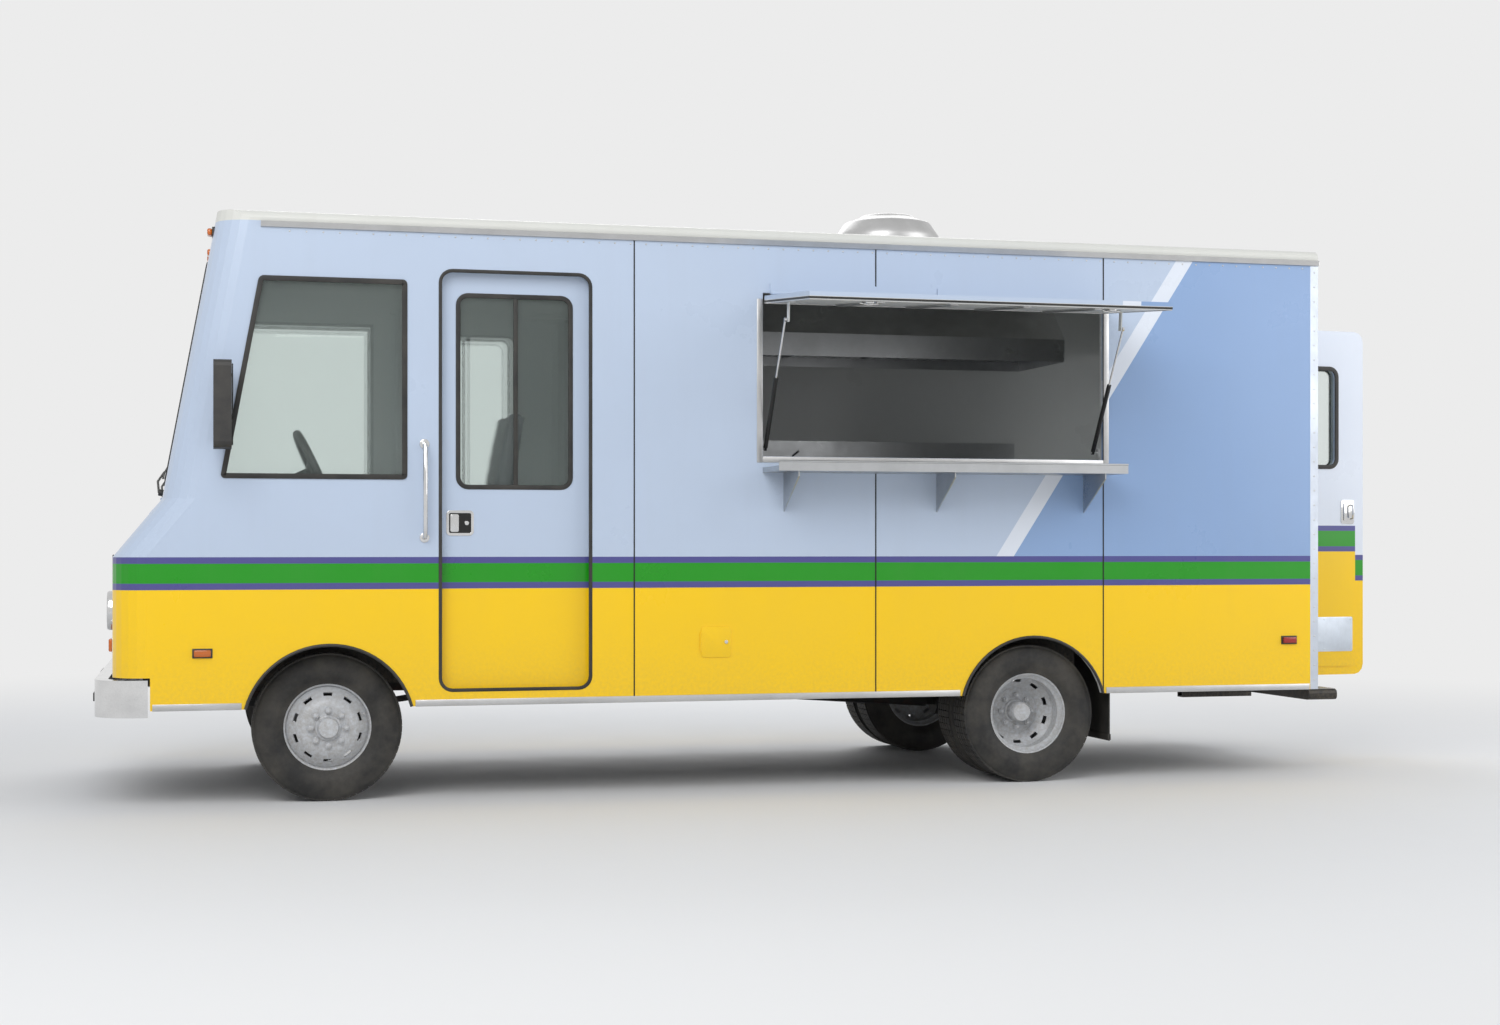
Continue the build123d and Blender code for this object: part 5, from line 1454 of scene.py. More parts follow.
    def seals(self) -> None:
        """Rubber seals round the screens, the quarter lights and the cab doorways."""
        shape = Shape()
        for side in SIDES:
            low, high = sorted((side * 0.018, side * 0.935))
            points = self.screen_points(low, high, 1.480, 2.530, -0.004)
            shape.surround(points, 0.026, SCREEN_OUT * 0.010, corner=0.070, soft=0.003)
        side_seal = Shape()
        y = SIDE_Y - 0.004
        quarter = [(-2.242, y, 1.512), (-1.392, y, 1.512), (-1.392, y, 2.448), (-2.068, y, 2.448)]
        side_seal.surround(quarter, 0.024, (0, 0.009, 0), corner=0.022, soft=0.003)
        side_seal.both_sides().piece("quarter_light_seals", TRUCK, SEAL, "black_plastic")
        shape.piece("screen_seals", TRUCK, SEAL, "black_plastic")
        edge = Shape()
        y = SIDE_Y - 0.010
        doorway = rectangle((-1.246, y, 0.514), (-0.514, y, 2.506))
        edge.surround(doorway, 0.016, (0, 0.013, 0), corner=0.066, soft=0.003)
        edge.both_sides().piece("doorway_seals", TRUCK, SEAL, "black_plastic")

    def door_glass(self) -> None:
        """Sliding door leaves: glass, seals and flush pulls."""
        for side, name in ((1, "right"), (-1, "left")):
            body = f"cab_door_{name}"
            dress(body, CAB_LEAF)
            out = side * CAB_LEAF_Y[1]
            pane, y = Shape(), out - side * 0.018
            pane.slab(rectangle((-1.150, y, 1.480), (-0.610, y, 2.390)), (0, side * 0.006, 0), corner=0.050)
            pane.piece(f"{body}_pane", body, GLASS, "glass")
            seal, y = Shape(), out - side * 0.004
            grown = rectangle((-1.160, y, 1.470), (-0.600, y, 2.400))
            seal.surround(grown, 0.022, (0, side * 0.008, 0), corner=0.058, soft=0.002)
            seal.box((-0.885, out - side * 0.012, 1.49), (-0.865, out + side * 0.003, 2.385), soft=0.002)
            seal.piece(f"{body}_seal", body, SEAL, "black_plastic")
            self.flush_pull(body, out, side)

    def flush_pull(self, body: str, out: float, side: int) -> None:
        """A flush pull with a paddle, a lock and painted shade in its recess, low enough to pass behind the
        wall.

        Args:
            body: The sliding door's body.
            out: The y of the leaf's outer face.
            side: 1 on the right and -1 on the left.
        """
        pull = Shape()
        plate = rectangle((-1.205, out, 1.25), (-1.075, out, 1.37))
        pull.surround(plate, 0.013, (0, side * 0.0030, 0), corner=0.020, soft=0.001)
        paddle = rectangle((-1.186, out, 1.268), (-1.146, out, 1.352))
        pull.slab(paddle, (0, side * 0.0026, 0), corner=0.008, soft=0.001)
        pull.rod((-1.108, out, 1.310), (-1.108, out + side * 0.0028, 1.310), 0.010, sides=28, soft=0.0008)
        pull.piece(f"{body}_handle", body, CHROME, "chrome_rod")
        # A near-black sheet in the pull's recess is painted shade.
        recess_shade = Shape()
        dish = rectangle((-1.195, out, 1.26), (-1.085, out, 1.36))
        recess_shade.slab(dish, (0, side * 0.0010, 0), corner=0.014)
        recess_shade.piece(f"{body}_handle_recess_shade", body, DARK, "black_plastic")

    def marker_lamps(self) -> None:
        """Amber lamps at the front eaves, red at the tail, and side repeaters."""
        amber, red, base = Shape(), Shape(), Shape()
        x = front_x(2.655) - 0.002
        foot, lens = 0.050, 0.042
        for y in (-0.92, -0.22, 0.0, 0.22, 0.92):
            base.box((x - 0.004, y - foot, 2.638), (x + 0.010, y + foot, 2.682), soft=0.003)
            amber.box((x - 0.026, y - lens, 2.644), (x - 0.002, y + lens, 2.676), soft=0.009, segments=3)
        x = REAR_X
        for y in (-0.92, -0.16, 0.0, 0.16, 0.92):
            base.box((x - 0.001, y - foot, 2.618), (x + 0.005, y + foot, 2.662), soft=0.002)
            red.box((x + 0.004, y - lens, 2.624), (x + 0.024, y + lens, 2.656), soft=0.008, segments=3)
        foot, lens = 0.045, 0.038
        for side in SIDES:
            ys = [side * (SIDE_Y + out) for out in (-0.001, 0.005, 0.004, 0.018)]
            for x, target in ((-2.32, amber), (3.18, red)):
                base.box((x - foot, ys[0], 0.688), (x + foot, ys[1], 0.732), soft=0.002)
                target.box((x - lens, ys[2], 0.694), (x + lens, ys[3], 0.726), soft=0.006, segments=3)
        base.piece("marker_bases", TRUCK, BLACK, "black_plastic")
        amber.piece("amber_markers", TRUCK, LAMP_AMBER, "lamp_glass")
        red.piece("red_markers", TRUCK, LAMP_RED, "lamp_red")

    def rub_rail(self) -> None:
        """A rub strip along the tail's lower edge, beside the doorway."""
        shape = Shape()
        for low, high in ((-1.05, -0.18), (0.74, 1.05)):
            shape.box((REAR_X - 0.001, low, 0.475), (REAR_X + 0.008, high, 0.520), soft=0.003)
        shape.piece("tail_rub_strip", TRUCK, BLACK, "black_plastic")

    def filler(self) -> None:
        """The fuel filler's hatch on the serving side."""
        shape = Shape()
        y = -SIDE_Y + 0.001
        shape.slab(rectangle((0.02, y, 0.66), (0.17, y, 0.81)), (0, -0.005, 0), corner=0.018, soft=0.0015)
        y = -SIDE_Y - 0.003
        shape.rod((0.018, y, 0.69), (0.018, y, 0.78), 0.004, sides=10)
        shape.piece("filler_lid", TRUCK, BELT_YELLOW, "body_paint")
        lock = Shape().rod((0.145, y, 0.735), (0.145, -SIDE_Y - 0.008, 0.735), 0.009, sides=16, soft=0.001)
        lock.piece("filler_lock", TRUCK, CHROME, "chrome_rod")


@dataclass
class Nose:
    """Grille, lamps, wipers, mirrors, hood catches and bumper trim."""

    lamp_y: float = 0.760
    lamp_z: float = 0.900
    strip_x: float = -2.808

    def build(self) -> None:
        """Dresses the front and adds its lamps and trim."""
        dress("grille", TRIM_BLACK)
        dress("mirrors", BLACK)
        self.grille_trim()
        self.headlamps()
        self.wipers()
        self.mirror_glass()
        self.hood_catches()
        self.bumper_trim()

    def grille_trim(self) -> None:
        """A bright surround round the grille."""
        shape = Shape()
        outline = rectangle((-2.734, -0.490, 0.710), (-2.734, 0.490, 1.090))
        shape.surround(outline, 0.022, (0.010, 0, 0), corner=0.048, soft=0.003)
        shape.piece("grille_surround", TRUCK, CHROME, "bumper_chrome")

    def headlamps(self) -> None:
        """Round lamps: bezel, bowl and domed lens, with a turn lamp beneath."""
        bezel, lens, bowl, amber = Shape(), Shape(), Shape(), Shape()
        rim = [(0.092, 0.0), (0.092, 0.020), (0.088, 0.029), (0.080, 0.030), (0.076, 0.022), (0.076, 0.0)]
        dish = [(0.0, 0.002), (0.030, 0.004), (0.060, 0.010), (0.075, 0.018), (0.075, 0.001), (0.0, 0.0005)]
        dome = [
            (0.0, 0.0295), (0.020, 0.0292), (0.040, 0.0280), (0.060, 0.0255), (0.077, 0.0215),
            (0.077, 0.0185), (0.060, 0.0225), (0.040, 0.0250), (0.020, 0.0262), (0.0, 0.0265),
        ]
        ahead = (-1, 0, 0)
        for side in SIDES:
            centre = (NOSE_X, side * self.lamp_y, self.lamp_z)
            bezel.lathe(rim, centre, ahead, steps=64)
            bowl.lathe(dish, centre, ahead, steps=48, closed=False)
            lens.lathe(dome, centre, ahead, steps=48, closed=False)
            low, high = side * (self.lamp_y - 0.075), side * (self.lamp_y + 0.075)
            amber.box((-2.742, low, 0.710), (-2.722, high, 0.770), soft=0.007, segments=3)
            low, high = min(low, high) - 0.006, max(low, high) + 0.006
            edge = rectangle((-2.726, low, 0.704), (-2.726, high, 0.776))
            bezel.surround(edge, 0.010, (0.006, 0, 0), corner=0.008, soft=0.0015)
        bezel.piece("lamp_bezels", TRUCK, CHROME, "bumper_chrome", ["headlamps"])
        bowl.piece("lamp_bowls", TRUCK, MIRROR, "chrome_rod")
        lens.piece("lamp_lenses", TRUCK, LAMP_GLASS, "lamp_glass")
        amber.piece("turn_lenses", TRUCK, LAMP_AMBER, "lamp_glass")

    def wipers(self) -> None:
        """Two parked wipers on the screens."""
        shape = Shape()
        out = SCREEN_OUT
        for y in (-0.62, 0.30):
            foot = Vector((front_x(1.452), y, 1.452)) + out * 0.004
            shape.rod(foot, foot + out * 0.026, 0.016, sides=20, soft=0.003)
            head = Vector((front_x(1.56), y + 0.36, 1.56)) + out * 0.030
            shape.tube([foot + out * 0.024, foot.lerp(head, 0.5) + out * 0.030, head], 0.0055, sides=8)
            way = Vector((front_x(1.60) - front_x(1.52), 0.56, 0.08)).normalized()
            start, end = head - way * 0.27 - out * 0.006, head + way * 0.27 - out * 0.006
            shape.tube([start, head - out * 0.002, end], 0.0045, sides=6)
            shape.tube([start - out * 0.010, head - out * 0.012, end - out * 0.010], 0.0045, sides=6)
        shape.piece("wipers", TRUCK, BLACK, "black_plastic")

    def mirror_glass(self) -> None:
        """The mirrors' glass, set in a lip."""
        glass, lip = Shape(), Shape()
        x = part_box("mirrors")[1].x
        for side in SIDES:
            low, high = sorted((side * 1.188, side * 1.312))
            for z0, z1 in ((1.790, 2.022), (1.658, 1.775)):
                points = rectangle((x, low, z0), (x, high, z1))
                glass.slab(points, (0.002, 0, 0), corner=0.018)
                lip.surround(points, 0.006, (0.005, 0, 0), corner=0.018, soft=0.001)
        glass.piece("mirror_glass", TRUCK, MIRROR, "chrome_rod")
        lip.piece("mirror_lips", TRUCK, BLACK, "black_plastic")

    def hood_catches(self) -> None:
        """Rubber catches at the hood's lower edge."""
        shape = Shape()
        for y in (-0.5, 0.5):
            shape.box((-2.722, y - 0.016, 1.115), (-2.738, y + 0.016, 1.160), soft=0.004)
            shape.rod((-2.724, y - 0.024, 1.128), (-2.724, y + 0.024, 1.128), 0.006, sides=12)
        shape.piece("hood_catches", TRUCK, BLACK, "black_plastic")

    def bumper_trim(self) -> None:
        """A rubber strip and a bare plate holder on the bumper."""
        shape = Shape()
        shape.box((self.strip_x + 0.008, -0.88, 0.485), (self.strip_x, 0.88, 0.525), soft=0.003)
        shape.piece("bumper_strip", TRUCK, SEAL, "black_plastic")
        plate = Shape()
        outline = rectangle((self.strip_x, -0.155, 0.428), (self.strip_x, 0.155, 0.582))
        plate.slab(outline, (-0.003, 0, 0), corner=0.012, soft=0.001)
        plate.piece("bare_front_plate", TRUCK, WHITE_PANEL, "black_plastic")


@dataclass
class Tail:
    """The rear leaf's trim, the tail lamps and the bare plate."""

    def build(self) -> None:
        """Dresses the leaf and adds lamps, window, kick plate, handles and bare plate."""
        dress("rear_door", LEAF)
        self.lamps()
        self.leaf_window()
        self.kick_plate()
        self.handle()
        self.plate()

    def lamps(self) -> None:
        """Round lamps in black rings."""
        lens, ring, amber = Shape(), Shape(), Shape()
        rim = [(0.055, 0.0), (0.055, 0.014), (0.051, 0.019), (0.046, 0.019), (0.044, 0.012), (0.044, 0.0)]
        dome = [
            (0.0, 0.024), (0.020, 0.0232), (0.034, 0.0205), (0.043, 0.0155), (0.0445, 0.004), (0.0, 0.004),
        ]
        for side in SIDES:
            for z, target in ((1.010, lens), (1.150, amber)):
                centre = (REAR_X, side * 0.965, z)
                ring.lathe(rim, centre, (1, 0, 0), steps=48)
                target.lathe(dome, centre, (1, 0, 0), steps=40, closed=False)
        lens.piece("tail_lenses", TRUCK, LAMP_RED, "lamp_red", ["tail_lamps"])
        amber.piece("tail_turn_lenses", TRUCK, LAMP_AMBER, "lamp_glass")
        ring.piece("tail_lamp_rings", TRUCK, SEAL, "black_plastic")

    def leaf_window(self) -> None:
        """Glass and seals of the rear leaf's window, shown open."""
        pane = Shape()
        pane.slab(rectangle((3.326, 0.030, 1.660), (3.326, 0.530, 2.230)), (0.006, 0, 0), corner=0.050)
        pane.moved(DOOR_OPEN).piece("rear_leaf_pane", "rear_door", GLASS, "glass")
        seal = Shape()
        for x, push in ((3.356, 0.008), (3.307, -0.008)):
            grown = rectangle((x, 0.018, 1.648), (x, 0.542, 2.242))
            seal.surround(grown, 0.024, (push, 0, 0), corner=0.060, soft=0.002)
        seal.moved(DOOR_OPEN).piece("rear_leaf_seals", "rear_door", SEAL, "black_plastic")

    def kick_plate(self) -> None:
        """The pale scuffed plate low on the raised panel."""
        shape = Shape()
        corners = rectangle((LEAF_FACE_X, -0.080, 0.590), (LEAF_FACE_X, 0.640, 0.790))
        shape.slab(corners, (0.002, 0, 0), corner=0.010, soft=0.0005)
        for y in (-0.065, 0.105, 0.275, 0.445, 0.625):
            for z in (0.605, 0.775):
                shape.dome((LEAF_FACE_X + 0.002, y, z), 0.0045, (1, 0, 0), 0.4)
        shape.moved(DOOR_OPEN).piece("kick_plate", "rear_door", SCUFFED, "stainless")

    def handle(self) -> None:
        """A paddle handle outside and a pull bar inside."""
        shape = Shape()
        corners = rectangle((LEAF_FACE_X, 0.560, 1.330), (LEAF_FACE_X, 0.650, 1.470))
        shape.slab(corners, (0.004, 0, 0), corner=0.014, soft=0.001)
        face = LEAF_FACE_X + 0.004
        shape.box((face, 0.575, 1.350), (3.3700, 0.600, 1.450), soft=0.003)
        grip = ((face, 1.360), (3.385, 1.365), (3.390, 1.400), (3.385, 1.435), (face, 1.440))
        shape.tube([(x, 0.625, z) for x, z in grip], 0.006)
        bar = ((3.305, 1.150), (3.270, 1.160), (3.262, 1.190), (3.262, 1.420), (3.270, 1.450), (3.305, 1.460))
        shape.tube([(x, 0.640, z) for x, z in bar], 0.010)
        shape.moved(DOOR_OPEN).piece("rear_leaf_handles", "rear_door", CHROME, "chrome_rod")

    def plate(self) -> None:
        """A bare plate beside the doorway."""
        shape = Shape()
        outline = rectangle((REAR_X, -0.62, 0.62), (REAR_X, -0.31, 0.775))
        shape.slab(outline, (0.004, 0, 0), corner=0.012, soft=0.001)
        shape.piece("bare_rear_plate", TRUCK, WHITE_PANEL, "black_plastic")


@dataclass
class ServingSide:
    """Hatch, opening, struts and shelf."""

    opening: tuple[float, float, float, float] = (0.330, 2.130, 1.640, 2.440)

    def build(self) -> None:
        """Dresses the hatch, shelf and struts, and adds frames, ribs and the shelf's edge."""
        dress("service_hatch", HATCH)
        dress("serving_shelf", STEEL)
        for end in ("front", "rear"):
            dress(f"strut_barrel_{end}", TRIM_BLACK)
            dress(f"strut_rod_{end}", CHROME)
        self.opening_frame()
        self.hatch_ribs()
        self.shelf_edge()

    def opening_frame(self) -> None:
        """Aluminium trim round the opening outside, and a steel frame inside."""
        x0, x1, z0, z1 = self.opening
        wide = 0.030
        shape = Shape()
        for low, high, top in (
            (x0, x1, z0 - 0.001), (x0 - wide, x0 - 0.001, z1 - wide), (x1 + 0.001, x1 + wide, z1 - wide),
        ):
            shape.box((low, -SIDE_Y - 0.003, z0 - wide), (high, -SIDE_Y + 0.002, top), soft=0.0015)
        shape.piece("opening_frame", TRUCK, ALUMINIUM, "post_metal")
        inner, y = Shape(), -SIDE_Y + WALL - 0.001
        outline = rectangle((x0 - wide, y, z0 - wide), (x1 + wide, y, z1 + wide))
        inner.surround(outline, wide, (0, 0.004, 0), soft=0.001)
        inner.piece("inner_opening_frame", TRUCK, STEEL, "stainless")

    def hatch_ribs(self) -> None:
        """Box ribs, an edge frame, latches and a seal on the hatch's inner face."""
        x0, x1, z0, z1 = self.opening
        inner = -SIDE_Y + 0.035
        shape = Shape()
        low, high = z0 + 0.005, z1 - 0.005
        edge = rectangle((x0 + 0.006, inner, low + 0.001), (x1 - 0.006, inner, high - 0.001))
        shape.surround(edge, 0.022, (0, 0.003, 0), soft=0.001)
        for share in (0.2, 0.4, 0.6, 0.8):
            x = x0 + share * (x1 - x0)
            shape.box((x - 0.020, inner, low + 0.05), (x + 0.020, inner + 0.010, high - 0.09), soft=0.003)
        shape.moved(HATCH_OPEN).piece("hatch_ribs", "service_hatch", ALUMINIUM, "post_metal")
        latch = Shape()
        for x in (x0 + 0.30, x1 - 0.30):
            latch.box((x - 0.018, inner, low + 0.02), (x + 0.018, inner + 0.014, low + 0.09), soft=0.003)
            lever = ((x - 0.04, 0.010), (x, 0.018), (x + 0.05, 0.012))
            latch.tube([(along, inner + out, low + 0.055) for along, out in lever], 0.005)
        latch.moved(HATCH_OPEN).piece("hatch_latches", "service_hatch", CHROME, "chrome_rod")
        seal, y = Shape(), inner - 0.012
        rim = rectangle((x0 + 0.0045, y, low - 0.0008), (x1 - 0.0045, y, high + 0.0008))
        seal.surround(rim, 0.0025, (0, 0.010, 0))
        seal.moved(HATCH_OPEN).piece("hatch_seal", "service_hatch", SEAL, "black_plastic")

    def shelf_edge(self) -> None:
        """A rolled edge and screws on the shelf."""
        low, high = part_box("serving_shelf")
        shape = Shape()
        shape.rod((low.x, low.y + 0.002, high.z), (high.x, low.y + 0.002, high.z), 0.005, sides=14)
        screws, inset = 7, 0.12
        for number in range(screws):
            x = low.x + inset + number * (high.x - low.x - 2 * inset) / (screws - 1)
            shape.dome((x, -SIDE_Y - 0.030, 1.5852), 0.005, (0, 0, 1), 0.4)
        shape.piece("shelf_edge", TRUCK, STEEL, "stainless")


@dataclass
class Kitchen:
    """Counter, cook line, canopy, refrigerator, floor, lamps and the roof fan."""

    sinks_x: tuple[float, float] = (2.52, 2.95)
    burners_x: tuple[float, float] = (1.98, 2.29)
    burners_y: tuple[float, float] = (0.58, 0.84)
    fryers_x: tuple[float, float] = (0.70, 0.94)
    range_top: float = 1.670
    knob_z: float = 1.615
    rail_z: float = 1.585

    def build(self) -> None:
        """Dresses the equipment and adds its fittings."""
        for node in ("kitchen_counter", "cook_line", "range_hood"):
            dress(node, STEEL)
        dress("fridge", STEEL_UP)
        dress("floor", PLATE)
        dress("stepwells", PLATE)
        for step in (
            self.taps, self.burners, self.baskets, self.knobs, self.filters, self.ceiling_lamps,
            self.fan_cowl, self.vent_bars,
        ):
            step()

    def fan_cowl(self) -> None:
        """The spun cowl of the roof fan on its curb, with the motor cap."""
        centre = Vector((*FAN, 2.840))
        outer = [
            (0.180, -0.001), (0.186, 0.004), (0.176, 0.052), (0.186, 0.060), (0.286, 0.060), (0.299, 0.070),
            (0.302, 0.085), (0.301, 0.124), (0.297, 0.142), (0.284, 0.162), (0.252, 0.212), (0.240, 0.220),
            (0.226, 0.224), (0.170, 0.244), (0.160, 0.250), (0.152, 0.258), (0.140, 0.262),
        ]
        inner = [
            (0.0, 0.262), (0.0, 0.232), (0.150, 0.228), (0.235, 0.206), (0.286, 0.140), (0.288, 0.080),
            (0.170, 0.072), (0.160, 0.052), (0.168, -0.001),
        ]
        shape = Shape().lathe(outer + inner, centre, (0, 0, 1), steps=96)
        for number in range(4):
            angle = math.tau * (number + 0.5) / 4
            place = centre + spoke(angle, 0.292) + Vector((0, 0, 0.110))
            shape.hexagon(place, 0.010, spoke(angle), 0.018)
        shape.piece("fan_cowl", TRUCK, SPUN, "fan_metal", ["roof_vent"])
        curb = Shape()
        for half, low, high, soft in (
            (0.260, 2.742, 2.838, 0.004), (0.275, 2.742, 2.772, 0.003), (0.268, 2.826, 2.841, 0.004),
        ):
            corner = (FAN[0] - half, FAN[1] - half, low)
            curb.box(corner, (FAN[0] + half, FAN[1] + half, high), soft=soft)
        curb.piece("fan_curb", TRUCK, ALUMINIUM, "fan_metal")

    def taps(self) -> None:
        """A swan-neck tap behind each sink."""
        shape = Shape()
        neck, steps = 0.075, 8
        for x in self.sinks_x:
            base = Vector((x, -1.000, 1.626))
            shape.rod(base, base + Vector((0, 0, 0.030)), 0.022, soft=0.004)
            path = [base + Vector((0, 0, 0.02)), base + Vector((0, 0, 0.17))]
            for number in range(steps + 1):
                angle = math.pi * number / steps
                out, up = neck - neck * math.cos(angle), 0.19 + neck * math.sin(angle)
                path.append(base + Vector((0, out, up)))
            path.append(base + Vector((0, 2 * neck, 0.150)))
            shape.tube(path, 0.010, sides=14)
            for side in SIDES:
                end = base + Vector((side * 0.06, 0, 0.035))
                shape.tube([base + Vector((0, 0, 0.018)), base + Vector((side * 0.03, 0, 0.020)), end], 0.006)
        shape.piece("sink_taps", TRUCK, CHROME, "chrome_rod")

    def burners(self) -> None:
        """Cast grates and caps of the range's burners, and the griddle's plate."""
        iron, caps = Shape(), Shape()
        top = self.range_top
        for x in self.burners_x:
            for y in self.burners_y:
                edge = rectangle((x - 0.13, y - 0.11, top), (x + 0.13, y + 0.11, top))
                iron.surround(edge, 0.012, (0, 0, 0.022), corner=0.015, soft=0.002)
                for angle in (0.0, math.pi / 2):
                    reach = spoke(angle) * 0.118
                    middle = Vector((x, y, top + 0.016))
                    iron.rod(middle - reach * 0.95, middle + reach * 0.95, 0.005, sides=8)
                caps.rod((x, y, top), (x, y, top + 0.008), 0.045, sides=32, soft=0.002, tip=0.038)
        iron.piece("burner_grates", TRUCK, CAST, "cast_steel")
        caps.piece("burner_caps", TRUCK, BLACK, "black_plastic")
        plate = Shape()
        plate.box((1.123, 0.498, 1.6581), (1.777, 0.992, 1.6605), soft=0.0008)
        plate.piece("griddle_plate", TRUCK, GRIDDLE, "stainless")

    def baskets(self) -> None:
        """Wire baskets hung in the fryers."""
        shape = Shape()
        for x in self.fryers_x:
            low, high = Vector((x - 0.075, 0.56, 1.56)), Vector((x + 0.075, 0.80, 1.69))
            for z in (low.z, (low.z + high.z) / 2, high.z):
                loop = rectangle((low.x, low.y, z), (high.x, high.y, z))
                shape.tube(loop, 0.0022, sides=5, closed=True)
            for number in range(7):
                share = number / 6
                x_wire = low.x + share * (high.x - low.x)
                y_wire = low.y + share * (high.y - low.y)
                drops = ((low, high), (low, low), (high, low), (high, high))
                shape.tube([(x_wire, edge.y, level.z) for edge, level in drops], 0.0016, sides=4)
                shape.tube([(edge.x, y_wire, level.z) for edge, level in drops], 0.0016, sides=4)
            grip = ((0.0, 0.0), (0.05, 0.03), (0.17, 0.05))
            shape.tube([(x, low.y - out, high.z + rise) for out, rise in grip], 0.006)
        shape.piece("fryer_baskets", TRUCK, STEEL, "stainless")

    def knobs(self) -> None:
        """Control knobs, a rail and doors with their handles along the cook line."""
        low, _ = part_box("cook_line")
        knob, rail = Shape(), Shape()
        tip = low.y - 0.024
        for x in (0.66, 0.74, 0.90, 0.98, 1.20, 1.36, 1.52, 1.68, 1.92, 2.06, 2.22, 2.36):
            z = self.knob_z
            knob.rod((x, low.y, z), (x, tip, z), 0.017, sides=24, soft=0.003, tip=0.014)
            knob.box((x - 0.003, tip, z - 0.013), (x + 0.003, low.y - 0.030, z + 0.013), soft=0.001)
        y, z = low.y - 0.034, self.rail_z
        rail.rod((1.86, y, z), (2.42, y, z), 0.009, sides=16, soft=0.002)
        for x in (1.88, 2.40):
            rail.rod((x, low.y, z), (x, y, z), 0.007, sides=12)
        for x0, x1 in ((0.60, 0.81), (0.83, 1.06), (1.12, 1.44), (1.46, 1.78)):
            door = rectangle((x0, low.y, 0.93), (x1, low.y, 1.54))
            rail.slab(door, (0, -0.006, 0), corner=0.008, soft=0.001)
            rail.rod((x1 - 0.03, tip, 1.34), (x1 - 0.03, tip, 1.50), 0.006, sides=12)
        knob.piece("control_knobs", TRUCK, BLACK, "black_plastic")
        rail.piece("cook_line_doors", TRUCK, STEEL, "stainless")

    def filters(self) -> None:
        """Baffle filters in the canopy's mouth, and its lamps."""
        shape, glow = Shape(), Shape()
        for number in range(4):
            x0 = 0.56 + number * 0.49
            for bar in range(11):
                x = x0 + 0.02 + bar * 0.040
                shape.box((x, 0.56, 2.330), (x + 0.024, 1.035, 2.336), soft=0.0015, segments=1)
            edge = rectangle((x0, 0.55, 2.326), (x0 + 0.46, 1.045, 2.326))
            shape.surround(edge, 0.016, (0, 0, 0.012), soft=0.001)
        shape.piece("grease_filters", TRUCK, STEEL_UP, "stainless")
        for x in (1.04, 2.02):
            glow.rod((x - 0.12, 0.45, 2.40), (x + 0.12, 0.45, 2.40), 0.022, sides=20, soft=0.006)
        glow.piece("canopy_lamps", TRUCK, WHITE_PANEL, "lamp_glass")

    def ceiling_lamps(self) -> None:
        """Long lamps under the roof."""
        shape = Shape()
        for x in (0.70, 1.90):
            shape.box((x - 0.35, -0.42, 2.655), (x + 0.35, -0.30, 2.690), soft=0.012, segments=3)
        shape.piece("ceiling_lamps", TRUCK, WHITE_PANEL, "lamp_glass")

    def vent_bars(self) -> None:
        """A bird screen of bars round the fan's neck and bolts in its curb."""
        shape = Shape()
        foot, bars, wall = Vector((*FAN, 2.845)), 40, 0.2605
        for number in range(bars):
            angle = math.tau * number / bars
            start = foot + spoke(angle, 0.170)
            shape.rod(start, start + spoke(angle, 0.016) + Vector((0, 0, 0.052)), 0.0022, sides=6)
        for side in SIDES:
            for offset in (-0.2, 0.0, 0.2):
                shape.dome((FAN[0] + side * wall, FAN[1] + offset, 2.805), 0.006, (side, 0, 0))
                shape.dome((FAN[0] + offset, FAN[1] + side * wall, 2.805), 0.006, (0, side, 0))
        shape.piece("vent_screen", TRUCK, ALUMINIUM, "fan_metal")


